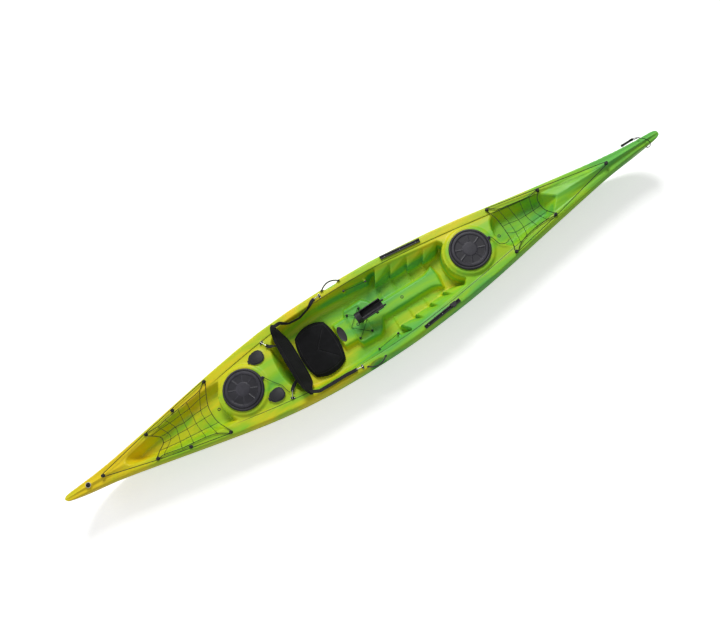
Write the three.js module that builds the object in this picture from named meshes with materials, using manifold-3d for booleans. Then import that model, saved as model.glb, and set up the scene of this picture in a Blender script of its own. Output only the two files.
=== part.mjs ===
import * as THREE from "three";
import { ConvexGeometry } from "three/addons/geometries/ConvexGeometry.js";
import { mergeVertices } from "three/addons/utils/BufferGeometryUtils.js";
import Module from "manifold-3d";

// A rotomoulded sit-on-top sea kayak. Millimetres: +X to the bow, +Y to port, +Z up, keel at z = 0.

// Hull
const hullLength = 4800;
const hullBeam = 686;
const gunwaleHeight = 275;
const wall = 6;
const rimStep = 4; // the fine step inboard of the gunwale band
const hiddenStep = 1.5; // detail smaller than this is left off the hollow inside
const cutOver = 60; // how far every cutter runs past what it cuts
const clearance = 0.3; // between pieces that touch

// Cockpit
const cockpitFloor = 130;
const cockpitRearX = -705;
const cockpitHalf = 277; // half-width at the gunwale, at the paddler's thighs
const footwellFrontX = 760;
const coveHeight = 18;
const braceTop = 205; // height of a foot brace's inboard corner
const ridgeTop = 178;
const ridgeHalf = 44;
const ridgeFoot = 26; // how far its side runs out to the floor
const consoleHalf = 138;
const ribHeight = 8;
const ribWidth = 15;

// Cargo wells
const wellFloor = 198;
const frontWellHalf = 150;
const rearWellHalf = 172;
const frontWellX = [1062, 1565];
const rearWellX = [-1925, -1176];

// Hatches
const hatchX = [858, -981];
const lidRadius = 148;
const lidHeight = 24;
const lidWall = 5;
const hatchBore = 118; // clear radius through the frame
const frameWall = 3.5;
const frameFlange = 22;
const frameHeight = 7;
const frameDepth = 26;
const tetherCord = 4;
const seatRing = 22; // how far the moulded seat shows round the lid
const seatRise = 7;
const cockpitArc = 200; // radius of the cockpit's front end round the hatch
const rearWellArc = 195;

// Drains
const drainRadius = 7;
const drainWall = 5;
const drainX = [-72, 294, 1106, -1216];

// Deck buttons and cords
const buttonRadius = 13;
const buttonBase = 3;
const buttonStem = 4.5;
const buttonCap = 10.5;
const buttonCapHeight = 4;
const cord = 5;
const netLine = 3.4;
const padRise = 2; // height of a moulded pad above the deck
const padMargin = 3; // how far a moulded pad shows round what it carries

// Flush rod holders
const tubeX = -800;
const tubeY = 152;
const tubeBore = 25;
const tubeWall = 3.5;
const tubeLength = 190;
const tubeLean = 28; // degrees aft of upright
const flangeLength = 112;
const flangeWidth = 95;
const flangeThick = 4;
const capThick = 7;
const capPlug = 12;

// Seat
const padX = -396;
const padLength = 296;
const padWidth = 392;
const padHeight = 38;
const backLength = 205;
const backHalf = 285;
const backRecline = 24; // degrees aft of upright
const backThick = 30;
const backEdge = 10;
const wingLift = 63; // how far the wings curl up over the gunwales

// Straps and hooks
const webWidth = 25;
const webThick = 2.6;
const hookWire = 3.4;
const hookLength = 52;
const hookHeight = 13;
const eyeLength = 34;
const eyeWidth = 15;
const eyeBase = 3;
const eyeWire = 5;
const eyeSpan = 17;
const eyeRise = 12; // from the pad to the middle of the loop's bar

// Side handles
const gripX = -98;
const gripSpan = 128;
const gripBow = 30;
const gripWidth = 15;
const gripThick = 7;
const gripPivot = 12; // diameter of each end
const scoopHalf = 64;
const scoopDepth = 30;
const scoopFloor = 196;

// Gear tracks
const trackLength = 305;
const trackWidth = 26;
const trackHeight = 11;
const trackMouth = 8;
const trackSlot = 15;
const trackSlotHeight = 5;
const trackLip = 2.6;
const trackX = 456;
const trackY = 278;
const trackToe = 7.2; // degrees, closing toward the bow
const carX = 95; // the track mount's place along its track
const carLength = 46;
const carHeight = 11;
const knobRadius = 16;
const knobHeight = 15;

// Adjustable rod holder
const rodX = -35;
const rodY = 12;
const rodBase = 20;
const rodBaseHeight = 8;
const rodPost = 13;
const rodPostHeight = 24;
const cradleLength = 205;
const cradleOuter = 40;
const cradleWall = 6;
const cradleTilt = 8; // degrees, nose up
const prongLength = 62;
const prongRadius = 7;
const prongTip = 50;

// Console tray
const trayX = -60;
const trayLength = 138;
const trayWidth = 262;
const trayLip = 10;
const trayRise = 9;
const hookPost = 5;

// Bow loop, drain plug
const toggleLength = 96;
const toggleRadius = 10;
const plugX = -2213;
const plugRadius = 12;
const plugFlange = 17;
const plugHead = 9;

const rad = Math.PI / 180;
const half = hullLength / 2;
const wasm = await Module();
wasm.setup();

// Tools for building solids

function toSolid(geometry) {
  const plain = new THREE.BufferGeometry();
  const source = geometry.index ? geometry.toNonIndexed() : geometry;
  plain.setAttribute("position", source.getAttribute("position"));
  const merged = mergeVertices(plain, 1e-3);
  return new wasm.Manifold(
    new wasm.Mesh({
      numProp: 3,
      vertProperties: merged.attributes.position.array,
      triVerts: new Uint32Array(merged.index.array),
    }),
  );
}

function toGeometry(solid) {
  const made = solid.getMesh();
  const geometry = new THREE.BufferGeometry();
  geometry.setAttribute("position", new THREE.BufferAttribute(made.vertProperties, 3));
  geometry.setIndex(new THREE.BufferAttribute(made.triVerts, 1));
  return geometry;
}

// Rings of equal count, joined by quads and closed by flat ends.
function loft(rings) {
  const n = rings[0].length;
  const points = rings.flat();
  const faces = [];
  for (let r = 0; r + 1 < rings.length; r++)
    for (let i = 0; i < n; i++) {
      const a = r * n + i;
      const b = r * n + ((i + 1) % n);
      faces.push(a, b, b + n, a, b + n, a + n);
    }
  capRing(rings[0], 0, true, faces);
  capRing(rings[rings.length - 1], (rings.length - 1) * n, false, faces);
  return indexed(points, faces);
}

// An end cap, triangulated in the plane that the ring covers best.
function capRing(ring, start, flip, faces) {
  const normal = new THREE.Vector3();
  ring.forEach((p, i) => {
    const q = ring[(i + 1) % ring.length];
    normal.x += (p[1] - q[1]) * (p[2] + q[2]);
    normal.y += (p[2] - q[2]) * (p[0] + q[0]);
    normal.z += (p[0] - q[0]) * (p[1] + q[1]);
  });
  const size = normal.toArray().map(Math.abs);
  const drop = size.indexOf(Math.max(...size));
  const u = (drop + 1) % 3;
  const v = (drop + 2) % 3;
  const sign = normal.getComponent(drop) > 0;
  const flat = ring.map((p) => new THREE.Vector2(p[u], p[v]));
  const order = sign ? flat : flat.slice().reverse();
  const index = (i) => start + (sign ? i : ring.length - 1 - i);
  for (const [a, b, c] of THREE.ShapeUtils.triangulateShape(order, [])) {
    const keep = sign !== flip;
    faces.push(index(a), keep ? index(b) : index(c), keep ? index(c) : index(b));
  }
}

function indexed(points, faces) {
  const geometry = new THREE.BufferGeometry();
  geometry.setAttribute("position", new THREE.Float32BufferAttribute(points.flat(), 3));
  geometry.setIndex(faces);
  return geometry;
}

function solidLoft(rings) {
  const made = toSolid(loft(rings));
  if (made.volume() > 0) return made;
  return toSolid(loft(rings.map((ring) => ring.slice().reverse())));
}

function mirrorY(solid) {
  return solid.mirror([0, 1, 0]);
}

function disc(radius, from, to, sides, x = 0, y = 0) {
  const made = new THREE.CylinderGeometry(radius, radius, to - from, sides);
  made.rotateX(Math.PI / 2);
  made.translate(x, y, (from + to) / 2);
  return toSolid(made);
}

function box(length, width, height, x = 0, y = 0, z = 0) {
  return toSolid(new THREE.BoxGeometry(length, width, height).translate(x, y, z));
}

function revolve(profile, sides) {
  const points = profile.map(([r, z]) => new THREE.Vector2(r, z));
  return new THREE.LatheGeometry(points, sides).rotateX(Math.PI / 2);
}

function revolved(profile, sides) {
  const made = toSolid(revolve(profile, sides));
  if (made.volume() > 0) return made;
  return toSolid(revolve(profile.slice().reverse(), sides));
}

// A smooth value from a table of [place, value] rows.
function tableAt(rows, place) {
  let i = 0;
  while (i < rows.length - 2 && place > rows[i + 1][0]) i++;
  const [x1, y1] = rows[i];
  const [x2, y2] = rows[i + 1];
  const [x0, y0] = rows[i - 1] ?? rows[i];
  const [x3, y3] = rows[i + 2] ?? rows[i + 1];
  const t = THREE.MathUtils.clamp((place - x1) / (x2 - x1), 0, 1);
  const chord = (y2 - y1) / (x2 - x1);
  const slope = (a, b) => (a * b > 0 ? (2 * a * b) / (a + b) : 0);
  const before = x1 > x0 ? (y1 - y0) / (x1 - x0) : chord;
  const after = x3 > x2 ? (y3 - y2) / (x3 - x2) : chord;
  const m1 = slope(before, chord) * (x2 - x1);
  const m2 = slope(chord, after) * (x2 - x1);
  const t2 = t * t;
  const t3 = t2 * t;
  return (2 * t3 - 3 * t2 + 1) * y1 + (t3 - 2 * t2 + t) * m1 + (3 * t2 - 2 * t3) * y2 + (t3 - t2) * m2;
}

// The hull's lines

// Half-breadth, as a share of half the beam, along the half-length from stern (-1) to bow (1).
const breadthShares = [
  [-1, 0.02], [-0.998, 0.05], [-0.993, 0.068], [-0.98, 0.085], [-0.94, 0.115], [-0.892, 0.155],
  [-0.833, 0.222], [-0.779, 0.3], [-0.667, 0.46], [-0.55, 0.625], [-0.433, 0.778], [-0.319, 0.905],
  [-0.204, 0.98], [-0.06, 1], [0.06, 0.985], [0.202, 0.906], [0.319, 0.81], [0.435, 0.675],
  [0.55, 0.53], [0.67, 0.385], [0.7875, 0.24], [0.85, 0.172], [0.91, 0.122], [0.96, 0.1],
  [0.985, 0.09], [0.994, 0.072], [0.998, 0.05], [1, 0.02],
];
// Keel, gunwale and deck ridge heights, as shares of the gunwale height.
const keelShares = [
  [-1, 1.02], [-0.997, 0.86], [-0.985, 0.62], [-0.965, 0.4], [-0.93, 0.21], [-0.87, 0.085],
  [-0.76, 0.02], [-0.6, 0], [0.58, 0], [0.74, 0.025], [0.85, 0.095], [0.92, 0.22],
  [0.96, 0.42], [0.983, 0.65], [0.996, 0.9], [1, 1.07],
];
const sheerShares = [
  [-1, 1.14], [-0.8, 1.09], [-0.62, 1.05], [-0.4, 1.02], [-0.2, 1.005], [0, 1], [0.2, 1.005],
  [0.36, 1.02], [0.62, 1.06], [0.8, 1.115], [1, 1.19],
];
const crownShares = [
  [-1, 0.01], [-0.97, 0.035], [-0.9, 0.06], [-0.82, 0.055], [-0.78, 0.03], [-0.6, 0.03],
  [0.6, 0.03], [0.66, 0.04], [0.73, 0.095], [0.82, 0.115], [0.92, 0.08], [0.98, 0.045], [1, 0.01],
];
// The half section from keel to deck centre, [out, up], amidships and at the ends.
const midSectionShares = [
  [0, 0], [0.1, 0], [0.42, 0.055], [0.72, 0.15], [0.9, 0.36], [0.985, 0.62], [1, 0.8], [0.985, 0.93], [0.94, 1],
];
const endSectionShares = [
  [0, 0], [0.12, 0], [0.3, 0.1], [0.5, 0.26], [0.72, 0.48], [0.92, 0.72], [1, 0.86], [0.97, 0.95], [0.86, 1],
];
const bandShares = [[-1, 0.3], [-0.85, 0.45], [-0.4, 0.72], [0, 0.82], [0.4, 0.72], [0.85, 0.45], [1, 0.3]];
const stationShares = [
  -1, -0.996, -0.985, -0.96, -0.91, -0.85, -0.78, -0.71, -0.63, -0.55, -0.47, -0.38, -0.29, -0.19, -0.09, 0,
  0.09, 0.19, 0.29, 0.38, 0.47, 0.55, 0.63, 0.69, 0.75, 0.81, 0.87, 0.925, 0.965, 0.987, 0.996, 1,
];
const holdEndShare = 0.955;

// The half section at one station, moved inward by inset, from the keel to the deck's middle.
function halfSection(share, inset = 0) {
  const breadth = (tableAt(breadthShares, share) * hullBeam) / 2 - inset;
  const keel = tableAt(keelShares, share) * gunwaleHeight + inset;
  const sheer = tableAt(sheerShares, share) * gunwaleHeight - inset;
  const crown = tableAt(crownShares, share) * gunwaleHeight;
  const fullness = 1 - THREE.MathUtils.smoothstep(Math.abs(share), 0.35, 0.97);
  const points = midSectionShares.map(([out, up], i) => {
    const [endOut, endUp] = endSectionShares[i];
    const y = THREE.MathUtils.lerp(endOut, out, fullness) * breadth;
    return [y, keel + THREE.MathUtils.lerp(endUp, up, fullness) * (sheer - keel)];
  });
  const band = tableAt(bandShares, share) * breadth;
  const step = inset ? 0 : rimStep * Math.min(1, breadth / (hullBeam / 4));
  points.push([band, sheer]);
  points.push([band - step, sheer - step]);
  points.push([(band - step) / 2, sheer - step + (crown + step) / 2]);
  points.push([0, sheer + crown]);
  return points;
}

function hullRing(share, inset = 0) {
  const side = halfSection(share, inset);
  const x = share * half;
  const port = side.map(([y, z]) => [x, y, z]);
  const starboard = side.slice(1, -1).reverse().map(([y, z]) => [x, -y, z]);
  return port.concat(starboard);
}

// The deck's height at a place in plan, before anything is cut into it.
function deckAt(x, y) {
  const side = halfSection(x / half).slice(8);
  const out = Math.abs(y);
  for (let i = side.length - 1; i > 0; i--) {
    const [y1, z1] = side[i];
    const [y2, z2] = side[i - 1];
    if (out <= y2) return z1 + ((z2 - z1) * (out - y1)) / Math.max(y2 - y1, 1);
  }
  return side[0][1];
}

function outerHull() {
  return solidLoft(stationShares.map((share) => hullRing(share)));
}

function innerHull() {
  const inner = stationShares.filter((share) => Math.abs(share) < holdEndShare);
  const ends = [-holdEndShare, ...inner, holdEndShare];
  return solidLoft(ends.map((share) => hullRing(share, wall)));
}

// What is moulded into the deck

// A cutter of outlines stacked in height, each the port half from aft to forward.
function stack(levels, grow = 0) {
  const rings = levels.map(([z, outline]) => {
    const grown = grow ? growOutline(outline, grow) : outline;
    const port = grown.map(([x, y]) => [x, y, z]);
    const starboard = grown.slice(1, -1).reverse().map(([x, y]) => [x, -y, z]);
    return port.concat(starboard);
  });
  return solidLoft(rings);
}

function growOutline(outline, grow) {
  return outline.map(([x, y], i) => {
    const [ax, ay] = outline[Math.max(i - 1, 0)];
    const [bx, by] = outline[Math.min(i + 1, outline.length - 1)];
    if (i === 0) return [x - grow, y];
    if (i === outline.length - 1) return [x + grow, y];
    const long = Math.hypot(bx - ax, by - ay);
    return [x - ((by - ay) / long) * grow, y + ((bx - ax) / long) * grow];
  });
}

// Points on the arc round a hatch, from the side to the middle line.
function hatchArc(centre, radius, toward, angles) {
  return angles.map((a) => [centre + toward * radius * Math.cos(a * rad), radius * Math.sin(a * rad)]);
}

const seatOutlinePoints = 8; // how many of the outline's points are on its rounded part
// Outline shares: x from the cockpit's rear to its front end, y of its half-width.
const cockpitTopShares = [
  [0, 0], [0.004, 0.32], [0.021, 0.6], [0.05, 0.8], [0.098, 0.94], [0.24, 0.99], [0.38, 1], [0.49, 1],
  [0.585, 0.965], [0.64, 0.945], [0.72, 0.87], [0.81, 0.8], [0.89, 0.735], [0.96, 0.685],
];
const cockpitFloorShares = [
  [0.035, 0], [0.04, 0.28], [0.055, 0.51], [0.085, 0.7], [0.13, 0.8], [0.25, 0.83], [0.38, 0.82], [0.49, 0.75],
  [0.565, 0.72], [0.612, 0.9], [0.72, 0.85], [0.81, 0.78], [0.89, 0.715], [0.945, 0.66],
];

function cockpitOutline(shares, arc) {
  const length = footwellFrontX - cockpitRearX;
  const sides = shares.map(([x, y]) => [cockpitRearX + x * length, y * cockpitHalf]);
  const round = rounded(sides.slice(0, seatOutlinePoints));
  const braced = sides.slice(seatOutlinePoints);
  return [...round, ...braced, ...hatchArc(hatchX[0], arc, -1, [48, 38, 28, 18, 9, 0])];
}

// The same outline with a point added on the curve through each pair.
function rounded(outline) {
  const curve = new THREE.SplineCurve(outline.map(([x, y]) => new THREE.Vector2(x, y)));
  const made = [];
  outline.forEach((point, i) => {
    made.push(point);
    if (i + 1 === outline.length) return;
    const mid = curve.getPoint((i + 0.5) / (outline.length - 1));
    made.push([mid.x, mid.y]);
  });
  return made;
}

function cockpitCutter(grow = 0) {
  const top = cockpitOutline(cockpitTopShares, cockpitArc);
  const floor = cockpitOutline(cockpitFloorShares, cockpitArc + wall);
  const low = floor.map(([x, y], i) => [x + (top[i][0] - x) / 6, y + (top[i][1] - y) / 6]);
  const levels = [
    [cockpitFloor - grow, floor.map(([x, y]) => [x, y * 0.93])],
    [cockpitFloor + coveHeight - grow, low],
    [gunwaleHeight - rimStep, top],
    [gunwaleHeight + cutOver, top],
  ];
  return stack(levels, grow);
}

// Foot braces: where each push face meets the gunwale and the floor.
const braceOuterShares = [
  [0.638, 0.945], [0.723, 0.872], [0.809, 0.803], [0.895, 0.732], [0.965, 0.68],
];
const braceInnerShares = [
  [0.599, 0.62], [0.683, 0.59], [0.772, 0.535], [0.853, 0.465], [0.925, 0.44],
];

// The push faces lie aslant, so the hollow stays this many walls forward of them.
const pushInsetShare = 2.2;

function placeShares([x, y]) {
  return [cockpitRearX + x * (footwellFrontX - cockpitRearX), y * cockpitHalf];
}

// One brace: an upright push face aft, a bevel falling inboard, a side that closes on the next.
function footBrace(i, inset = 0) {
  const [ox, oy] = placeShares(braceOuterShares[i]);
  const [ix, iy] = placeShares(braceInnerShares[i]);
  const [nx, ny] = placeShares(braceOuterShares[i + 1]);
  const [fx, fy] = placeShares(braceInnerShares[i + 1]);
  const top = gunwaleHeight - rimStep * 2 - inset;
  const low = cockpitFloor - wall - inset * 3;
  const out = wall + inset * 2;
  const push = inset * pushInsetShare;
  const points = [
    [ix + push, iy + inset, low], [ix + push, iy + inset, braceTop - inset],
    [ox + push, oy, top], [ox + push, oy + out, top], [ox + push, oy + out, low],
    [nx - inset, ny, top], [nx - inset, ny + out, top], [nx - inset, ny + out, low],
    [fx - inset, fy + inset, low],
  ].map((p) => new THREE.Vector3(...p));
  return toSolid(new ConvexGeometry(points));
}

function footBraces(inset = 0) {
  let all = null;
  for (let i = 0; i + 1 < braceOuterShares.length; i++) {
    const port = footBrace(i, inset);
    const pair = port.add(mirrorY(port));
    all = all ? all.add(pair) : pair;
  }
  return all;
}

// The console and the ridge that runs forward from it, x and half-width as shares.
const consoleShares = [
  [0.322, 0, 0], [0.324, 0.6, 0], [0.392, 0.61, 0], [0.405, 0.97, 0], [0.502, 1, 0], [0.525, 0.8, 0], [0.55, 0, 1],
];
const ridgeShares = [[0.6, 1], [0.83, 1], [0.858, 1.35], [0.875, 1.75], [0.88, 0]];

function ridgeOutline(out) {
  const length = footwellFrontX - cockpitRearX;
  const console_ = consoleShares.map(([x, c, r]) => [
    cockpitRearX + x * length,
    c * consoleHalf + r * ridgeHalf + (c + r ? out : 0),
  ]);
  const ridge = ridgeShares.map(([x, r]) => [cockpitRearX + x * length, r * ridgeHalf + (r ? out : 0)]);
  const made = console_.concat(ridge);
  made[0][0] -= out / 4;
  made[1][0] -= out / 4;
  made[made.length - 1][0] += out;
  made[made.length - 2][0] += out / 2;
  return made;
}

function ridge(inset = 0) {
  return stack([
    [cockpitFloor - wall - inset * 3, ridgeOutline(ridgeFoot - inset)],
    [cockpitFloor, ridgeOutline(ridgeFoot - inset)],
    [ridgeTop - inset, ridgeOutline(-inset)],
  ]);
}

function cockpit(grow = 0) {
  return cockpitCutter(grow).subtract(footBraces(grow)).subtract(ridge(grow));
}

// Cargo wells: outline shares of each well's length from aft and of its half-width.
const frontWellTopShares = [
  [0, 0], [0.02, 0.4], [0.076, 0.8], [0.175, 1], [0.374, 0.9], [0.612, 0.745], [0.847, 0.585], [1, 0],
];
const frontWellFloorShares = [
  [0.026, 0], [0.042, 0.27], [0.086, 0.47], [0.175, 0.55], [0.374, 0.5], [0.612, 0.41], [0.79, 0.33], [0.8, 0],
];
const rearWellTopShares = [
  [0, 0], [0.013, 0.13], [0.073, 0.235], [0.167, 0.32], [0.278, 0.435], [0.434, 0.585], [0.591, 0.71],
  [0.768, 0.845], [0.972, 0.975], [1.1, 1],
];
const rearWellFloorShares = [
  [0.113, 0], [0.12, 0.07], [0.167, 0.13], [0.234, 0.19], [0.327, 0.25], [0.461, 0.33], [0.608, 0.4],
  [0.768, 0.47], [0.928, 0.55], [1.0, 0.57],
];

function wellOutline(shares, [from, to], halfWidth) {
  const plain = shares.map(([x, y]) => [from + x * (to - from), y * halfWidth]);
  return [...rounded(plain.slice(0, 5)), ...plain.slice(5)];
}

function wellCutter(top, floor, grow) {
  const edge = Math.max(...top.map(([x, y]) => deckAt(x, y)));
  const cove = floor.map(([x, y], i) => [x + (top[i][0] - x) / 5, y + (top[i][1] - y) / 5]);
  return stack(
    [
      [wellFloor - grow, floor.map(([x, y], i) => [x, y * 0.9])],
      [wellFloor + wall * 2 - grow, cove],
      [edge - wall * 2, top],
      [edge + cutOver, top],
    ],
    grow,
  );
}

function frontWell(grow = 0) {
  return wellCutter(
    wellOutline(frontWellTopShares, frontWellX, frontWellHalf),
    wellOutline(frontWellFloorShares, frontWellX, frontWellHalf),
    grow,
  );
}

function rearWell(grow = 0) {
  const arc = [40, 27, 13, 0];
  const top = wellOutline(rearWellTopShares, rearWellX, rearWellHalf);
  const floor = wellOutline(rearWellFloorShares, rearWellX, rearWellHalf);
  return wellCutter(
    top.concat(hatchArc(hatchX[1], rearWellArc, -1, arc)),
    floor.concat(hatchArc(hatchX[1], rearWellArc + wall, -1, [26, 18, 9, 0])),
    grow,
  );
}

// Finger scoops under the side handles.
function scoop(grow = 0) {
  const reach = scoopDepth + grow;
  const centre = hullBeam / 2;
  const made = new THREE.CylinderGeometry(1, 1, 1, 16).rotateX(Math.PI / 2);
  const height = gunwaleHeight + cutOver - scoopFloor + grow;
  made.scale(scoopHalf + grow, reach, height);
  made.translate(gripX, centre, scoopFloor - grow + height / 2);
  const port = toSolid(made);
  return port.add(mirrorY(port));
}

// Places on the deck

const buttonPlaces = {
  bow: [1967, 0],
  front_outer_port: [1488, 109],
  front_outer_starboard: [1488, -109],
  front_inner_port: [1118, 184],
  front_inner_starboard: [1118, -184],
  rear_inner_port: [-1197, 203],
  rear_inner_starboard: [-1197, -203],
  rear_middle_port: [-1482, 145],
  rear_middle_starboard: [-1482, -145],
  rear_outer_port: [-1717, 95],
  rear_outer_starboard: [-1717, -95],
  stern: [-2093, 0],
};
const eyePlaces = {
  front: [-200, 298, 184],
  rear: [-718, 226, -60],
};

function deckTop(x, y, radius) {
  const around = [0, 1, 2, 3, 4, 5].map((i) =>
    deckAt(x + radius * Math.cos(i * 60 * rad), y + radius * Math.sin(i * 60 * rad)),
  );
  return Math.max(deckAt(x, y), ...around) + padRise;
}

function buttonTop([x, y]) {
  return deckTop(x, y, buttonRadius);
}

function hatchTop(i) {
  const radius = lidRadius + seatRing;
  return Math.max(deckAt(hatchX[i] - radius, 0), deckAt(hatchX[i] + radius, 0), deckAt(hatchX[i], 0)) + seatRise;
}

function pads() {
  const list = [];
  for (const place of Object.values(buttonPlaces)) {
    const top = buttonTop(place);
    list.push(disc(buttonRadius + padMargin, top - wall, top, 8, ...place));
  }
  for (const i of [0, 1]) {
    const top = hatchTop(i);
    const radius = lidRadius + seatRing;
    const profile = [[0, top - wall * 3], [radius + seatRise * 2, top - wall * 3], [radius, top], [0, top]];
    list.push(revolved(profile, hatchSides).translate([hatchX[i], 0, 0]));
  }
  for (const side of [1, -1]) {
    list.push(tubePad(side), trackPad(side), ...eyePads(side), ...gripPads(side));
  }
  const plug = deckTop(plugX, 0, plugFlange);
  list.push(disc(plugFlange + padMargin, plug - wall, plug, 12, plugX, 0));
  return list;
}


// A rounded D with its narrow end aft, in the plane of the deck.
const flangeShares = [
  [-0.5, 0.1], [-0.46, 0.26], [-0.32, 0.4], [-0.1, 0.48], [0.12, 0.5], [0.32, 0.44], [0.45, 0.3], [0.5, 0.12],
];

function flangeOutline(grow) {
  const side = flangeShares.map(([x, y]) => [x * (flangeLength + grow * 2), y * (flangeWidth + grow * 2)]);
  return side.concat(side.map(([x, y]) => [x, -y]).reverse());
}

const tubeTop = Math.max(...flangeOutline(padMargin).map(([x, y]) => deckAt(x + tubeX, y + tubeY))) + padRise;

function flangePlate(grow, from, to, side) {
  const outline = flangeOutline(grow).map(([x, y]) => [x + tubeX, y + side * tubeY]);
  return solidLoft([from, to].map((z) => outline.map(([x, y]) => [x, y, z])));
}

function tubePad(side) {
  return flangePlate(padMargin, tubeTop - wall * 2, tubeTop, side);
}

const trackTop = Math.max(deckAt(trackX - trackLength / 2, trackY), deckAt(trackX + trackLength / 2, trackY)) + padRise;

function onTrack(solid, side, along = 0) {
  const turn = -side * trackToe;
  const shift = [Math.cos(turn * rad) * along, Math.sin(turn * rad) * along];
  return solid.rotate([0, 0, turn]).translate([trackX + shift[0], side * trackY + shift[1], trackTop]);
}

function trackPad(side) {
  const grown = padMargin * 2;
  return onTrack(box(trackLength + grown, trackWidth + grown, wall * 2, 0, 0, -wall), side);
}

function eyePads(side) {
  return Object.values(eyePlaces).map(([x, y, turn]) => {
    const top = deckTop(x, y, eyeLength / 2);
    const made = box(eyeLength + padMargin * 2, eyeWidth + padMargin * 2, wall * 2, 0, 0, top - wall);
    return made.rotate([0, 0, side * turn]).translate([x, side * y, 0]);
  });
}

const gripY = hullBeam / 2 - scoopDepth + gripPivot / 2;
const gripTop = deckAt(gripX - gripSpan / 2, gripY) + padRise;

function gripPads(side) {
  return [-1, 1].map((end) => {
    const x = gripX + (end * (gripSpan + gripPivot)) / 2;
    return box(gripPivot * 2, gripPivot * 1.6, wall * 2, x, side * gripY, gripTop - wall);
  });
}

// Drains: a moulded tube from a floor down through the bottom, at the middle line.
function drainFloor(x) {
  if (x > cockpitRearX && x < footwellFrontX) return ridgeTop;
  return wellFloor;
}

function drains(radius, over) {
  return drainX.map((x) => disc(radius, -over, drainFloor(x) + over, 8, x, 0));
}

function floorRibs() {
  const list = [];
  for (let i = 0; i + 1 < braceInnerShares.length; i++) {
    const [x, y] = placeShares(braceInnerShares[i]);
    const from = ridgeHalf + ridgeFoot / 2;
    const to = y + wall;
    const outline = [[-ribWidth / 2, 0], [ribWidth / 2, 0], [ribWidth / 4, ribHeight], [-ribWidth / 4, ribHeight]];
    const low = (z) => cockpitFloor + (z || -wall / 2);
    const rib = solidLoft([from, to].map((s) => outline.map(([dx, z]) => [x + dx, s, low(z)])));
    list.push(rib, mirrorY(rib));
  }
  return list;
}

// The tray's raised lip on the console.
function trayLipRing() {
  const corner = trayLip * 2;
  const outer = roundedBox(trayLength, trayWidth, corner, ridgeTop - wall / 2, ridgeTop + trayRise);
  const inner = roundedBox(
    trayLength - trayLip * 2, trayWidth - trayLip * 2, corner - trayLip / 2, ridgeTop, ridgeTop + trayRise + wall,
  );
  return outer.subtract(inner.translate([0, 0, -wall])).translate([trayX, 0, 0]);
}

function roundedBox(length, width, corner, from, to, steps = 4) {
  const outline = [];
  const centres = [[1, 1], [-1, 1], [-1, -1], [1, -1]];
  centres.forEach(([sx, sy], q) => {
    for (let i = 0; i <= steps; i++) {
      const a = (q + i / steps) * 90 * rad;
      outline.push([
        sx * (length / 2 - corner) + corner * Math.cos(a),
        sy * (width / 2 - corner) + corner * Math.sin(a),
      ]);
    }
  });
  return solidLoft([from, to].map((z) => outline.map(([x, y]) => [x, y, z])));
}

function unite(list) {
  return wasm.Manifold.union(list);
}

// The leaning bore of a flush rod holder, about its flange's middle.
function leaned(solid, side) {
  return solid.rotate([0, -tubeLean, 0]).translate([tubeX, side * tubeY, tubeTop]);
}

function hull() {
  const holes = [];
  for (const i of [0, 1])
    holes.push(disc(hatchBore + frameWall + clearance, hatchTop(i) - cutOver, hatchTop(i) + cutOver, hatchSides, hatchX[i], 0));
  for (const side of [1, -1]) {
    const hole = disc(tubeBore + tubeWall + clearance, -cutOver, cutOver / 2, 16);
    holes.push(leaned(hole, side));
  }
  const moulded = unite([cockpit(), frontWell(), rearWell(), scoop()]);
  const behind = unite([cockpit(wall), frontWell(wall), rearWell(wall), scoop(wall)]);
  const hold = innerHull().subtract(behind).subtract(unite(drains(drainRadius + drainWall, cutOver)));
  const skin = unite([outerHull(), ...pads()]);
  const top = skin.subtract(moulded).subtract(hold.simplify(hiddenStep));
  const keepers = [...keeperPads(1), ...keeperPads(-1)];
  const fitted = unite([top, ...floorRibs(), trayLipRing(), ...trayCleats(), ...keepers]);
  holes.push(bowHole(), disc(plugShank + clearance, plugTop - cutOver / 2, plugTop + cutOver, 12, plugX, 0));
  const open = fitted.subtract(unite(holes)).subtract(unite(drains(drainRadius, cutOver)));
  return open;
}

// Cords and bands

// A round cord along points, with a flat face across each end, or joined end to end.
function tube(points, radius, sides = 8, closed = false) {
  const at = points.map((p) => new THREE.Vector3(...p));
  const count = at.length;
  const rings = [];
  let normal = null;
  for (let i = 0; i < count; i++) {
    const before = at[closed ? (i + count - 1) % count : Math.max(i - 1, 0)];
    const after = at[closed ? (i + 1) % count : Math.min(i + 1, count - 1)];
    const into = at[i].clone().sub(before).normalize();
    const out = after.clone().sub(at[i]).normalize();
    if (into.lengthSq() === 0) into.copy(out);
    if (out.lengthSq() === 0) out.copy(into);
    const along = into.clone().add(out).normalize();
    if (!normal) normal = Math.abs(along.z) < 0.9 ? new THREE.Vector3(0, 0, 1) : new THREE.Vector3(1, 0, 0);
    normal = normal.clone().addScaledVector(into, -normal.dot(into)).normalize();
    const side = new THREE.Vector3().crossVectors(into, normal);
    const stretch = Math.max(into.dot(along), 0.5);
    rings.push(ringAcross(at[i], normal, side, along, into, radius, sides, stretch));
  }
  if (!closed) return solidLoft(rings);
  return closedLoft(rings);
}

// One ring of a tube: the section across the cord, slid onto the mitre plane.
function ringAcross(centre, normal, side, along, into, radius, sides) {
  const ring = [];
  for (let k = 0; k < sides; k++) {
    const a = ((k + 0.5) / sides) * 2 * Math.PI;
    const offset = normal.clone().multiplyScalar(Math.cos(a) * radius);
    offset.addScaledVector(side, Math.sin(a) * radius);
    offset.addScaledVector(into, -offset.dot(along) / Math.max(into.dot(along), 0.5));
    ring.push(centre.clone().add(offset).toArray());
  }
  return ring;
}

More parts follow.
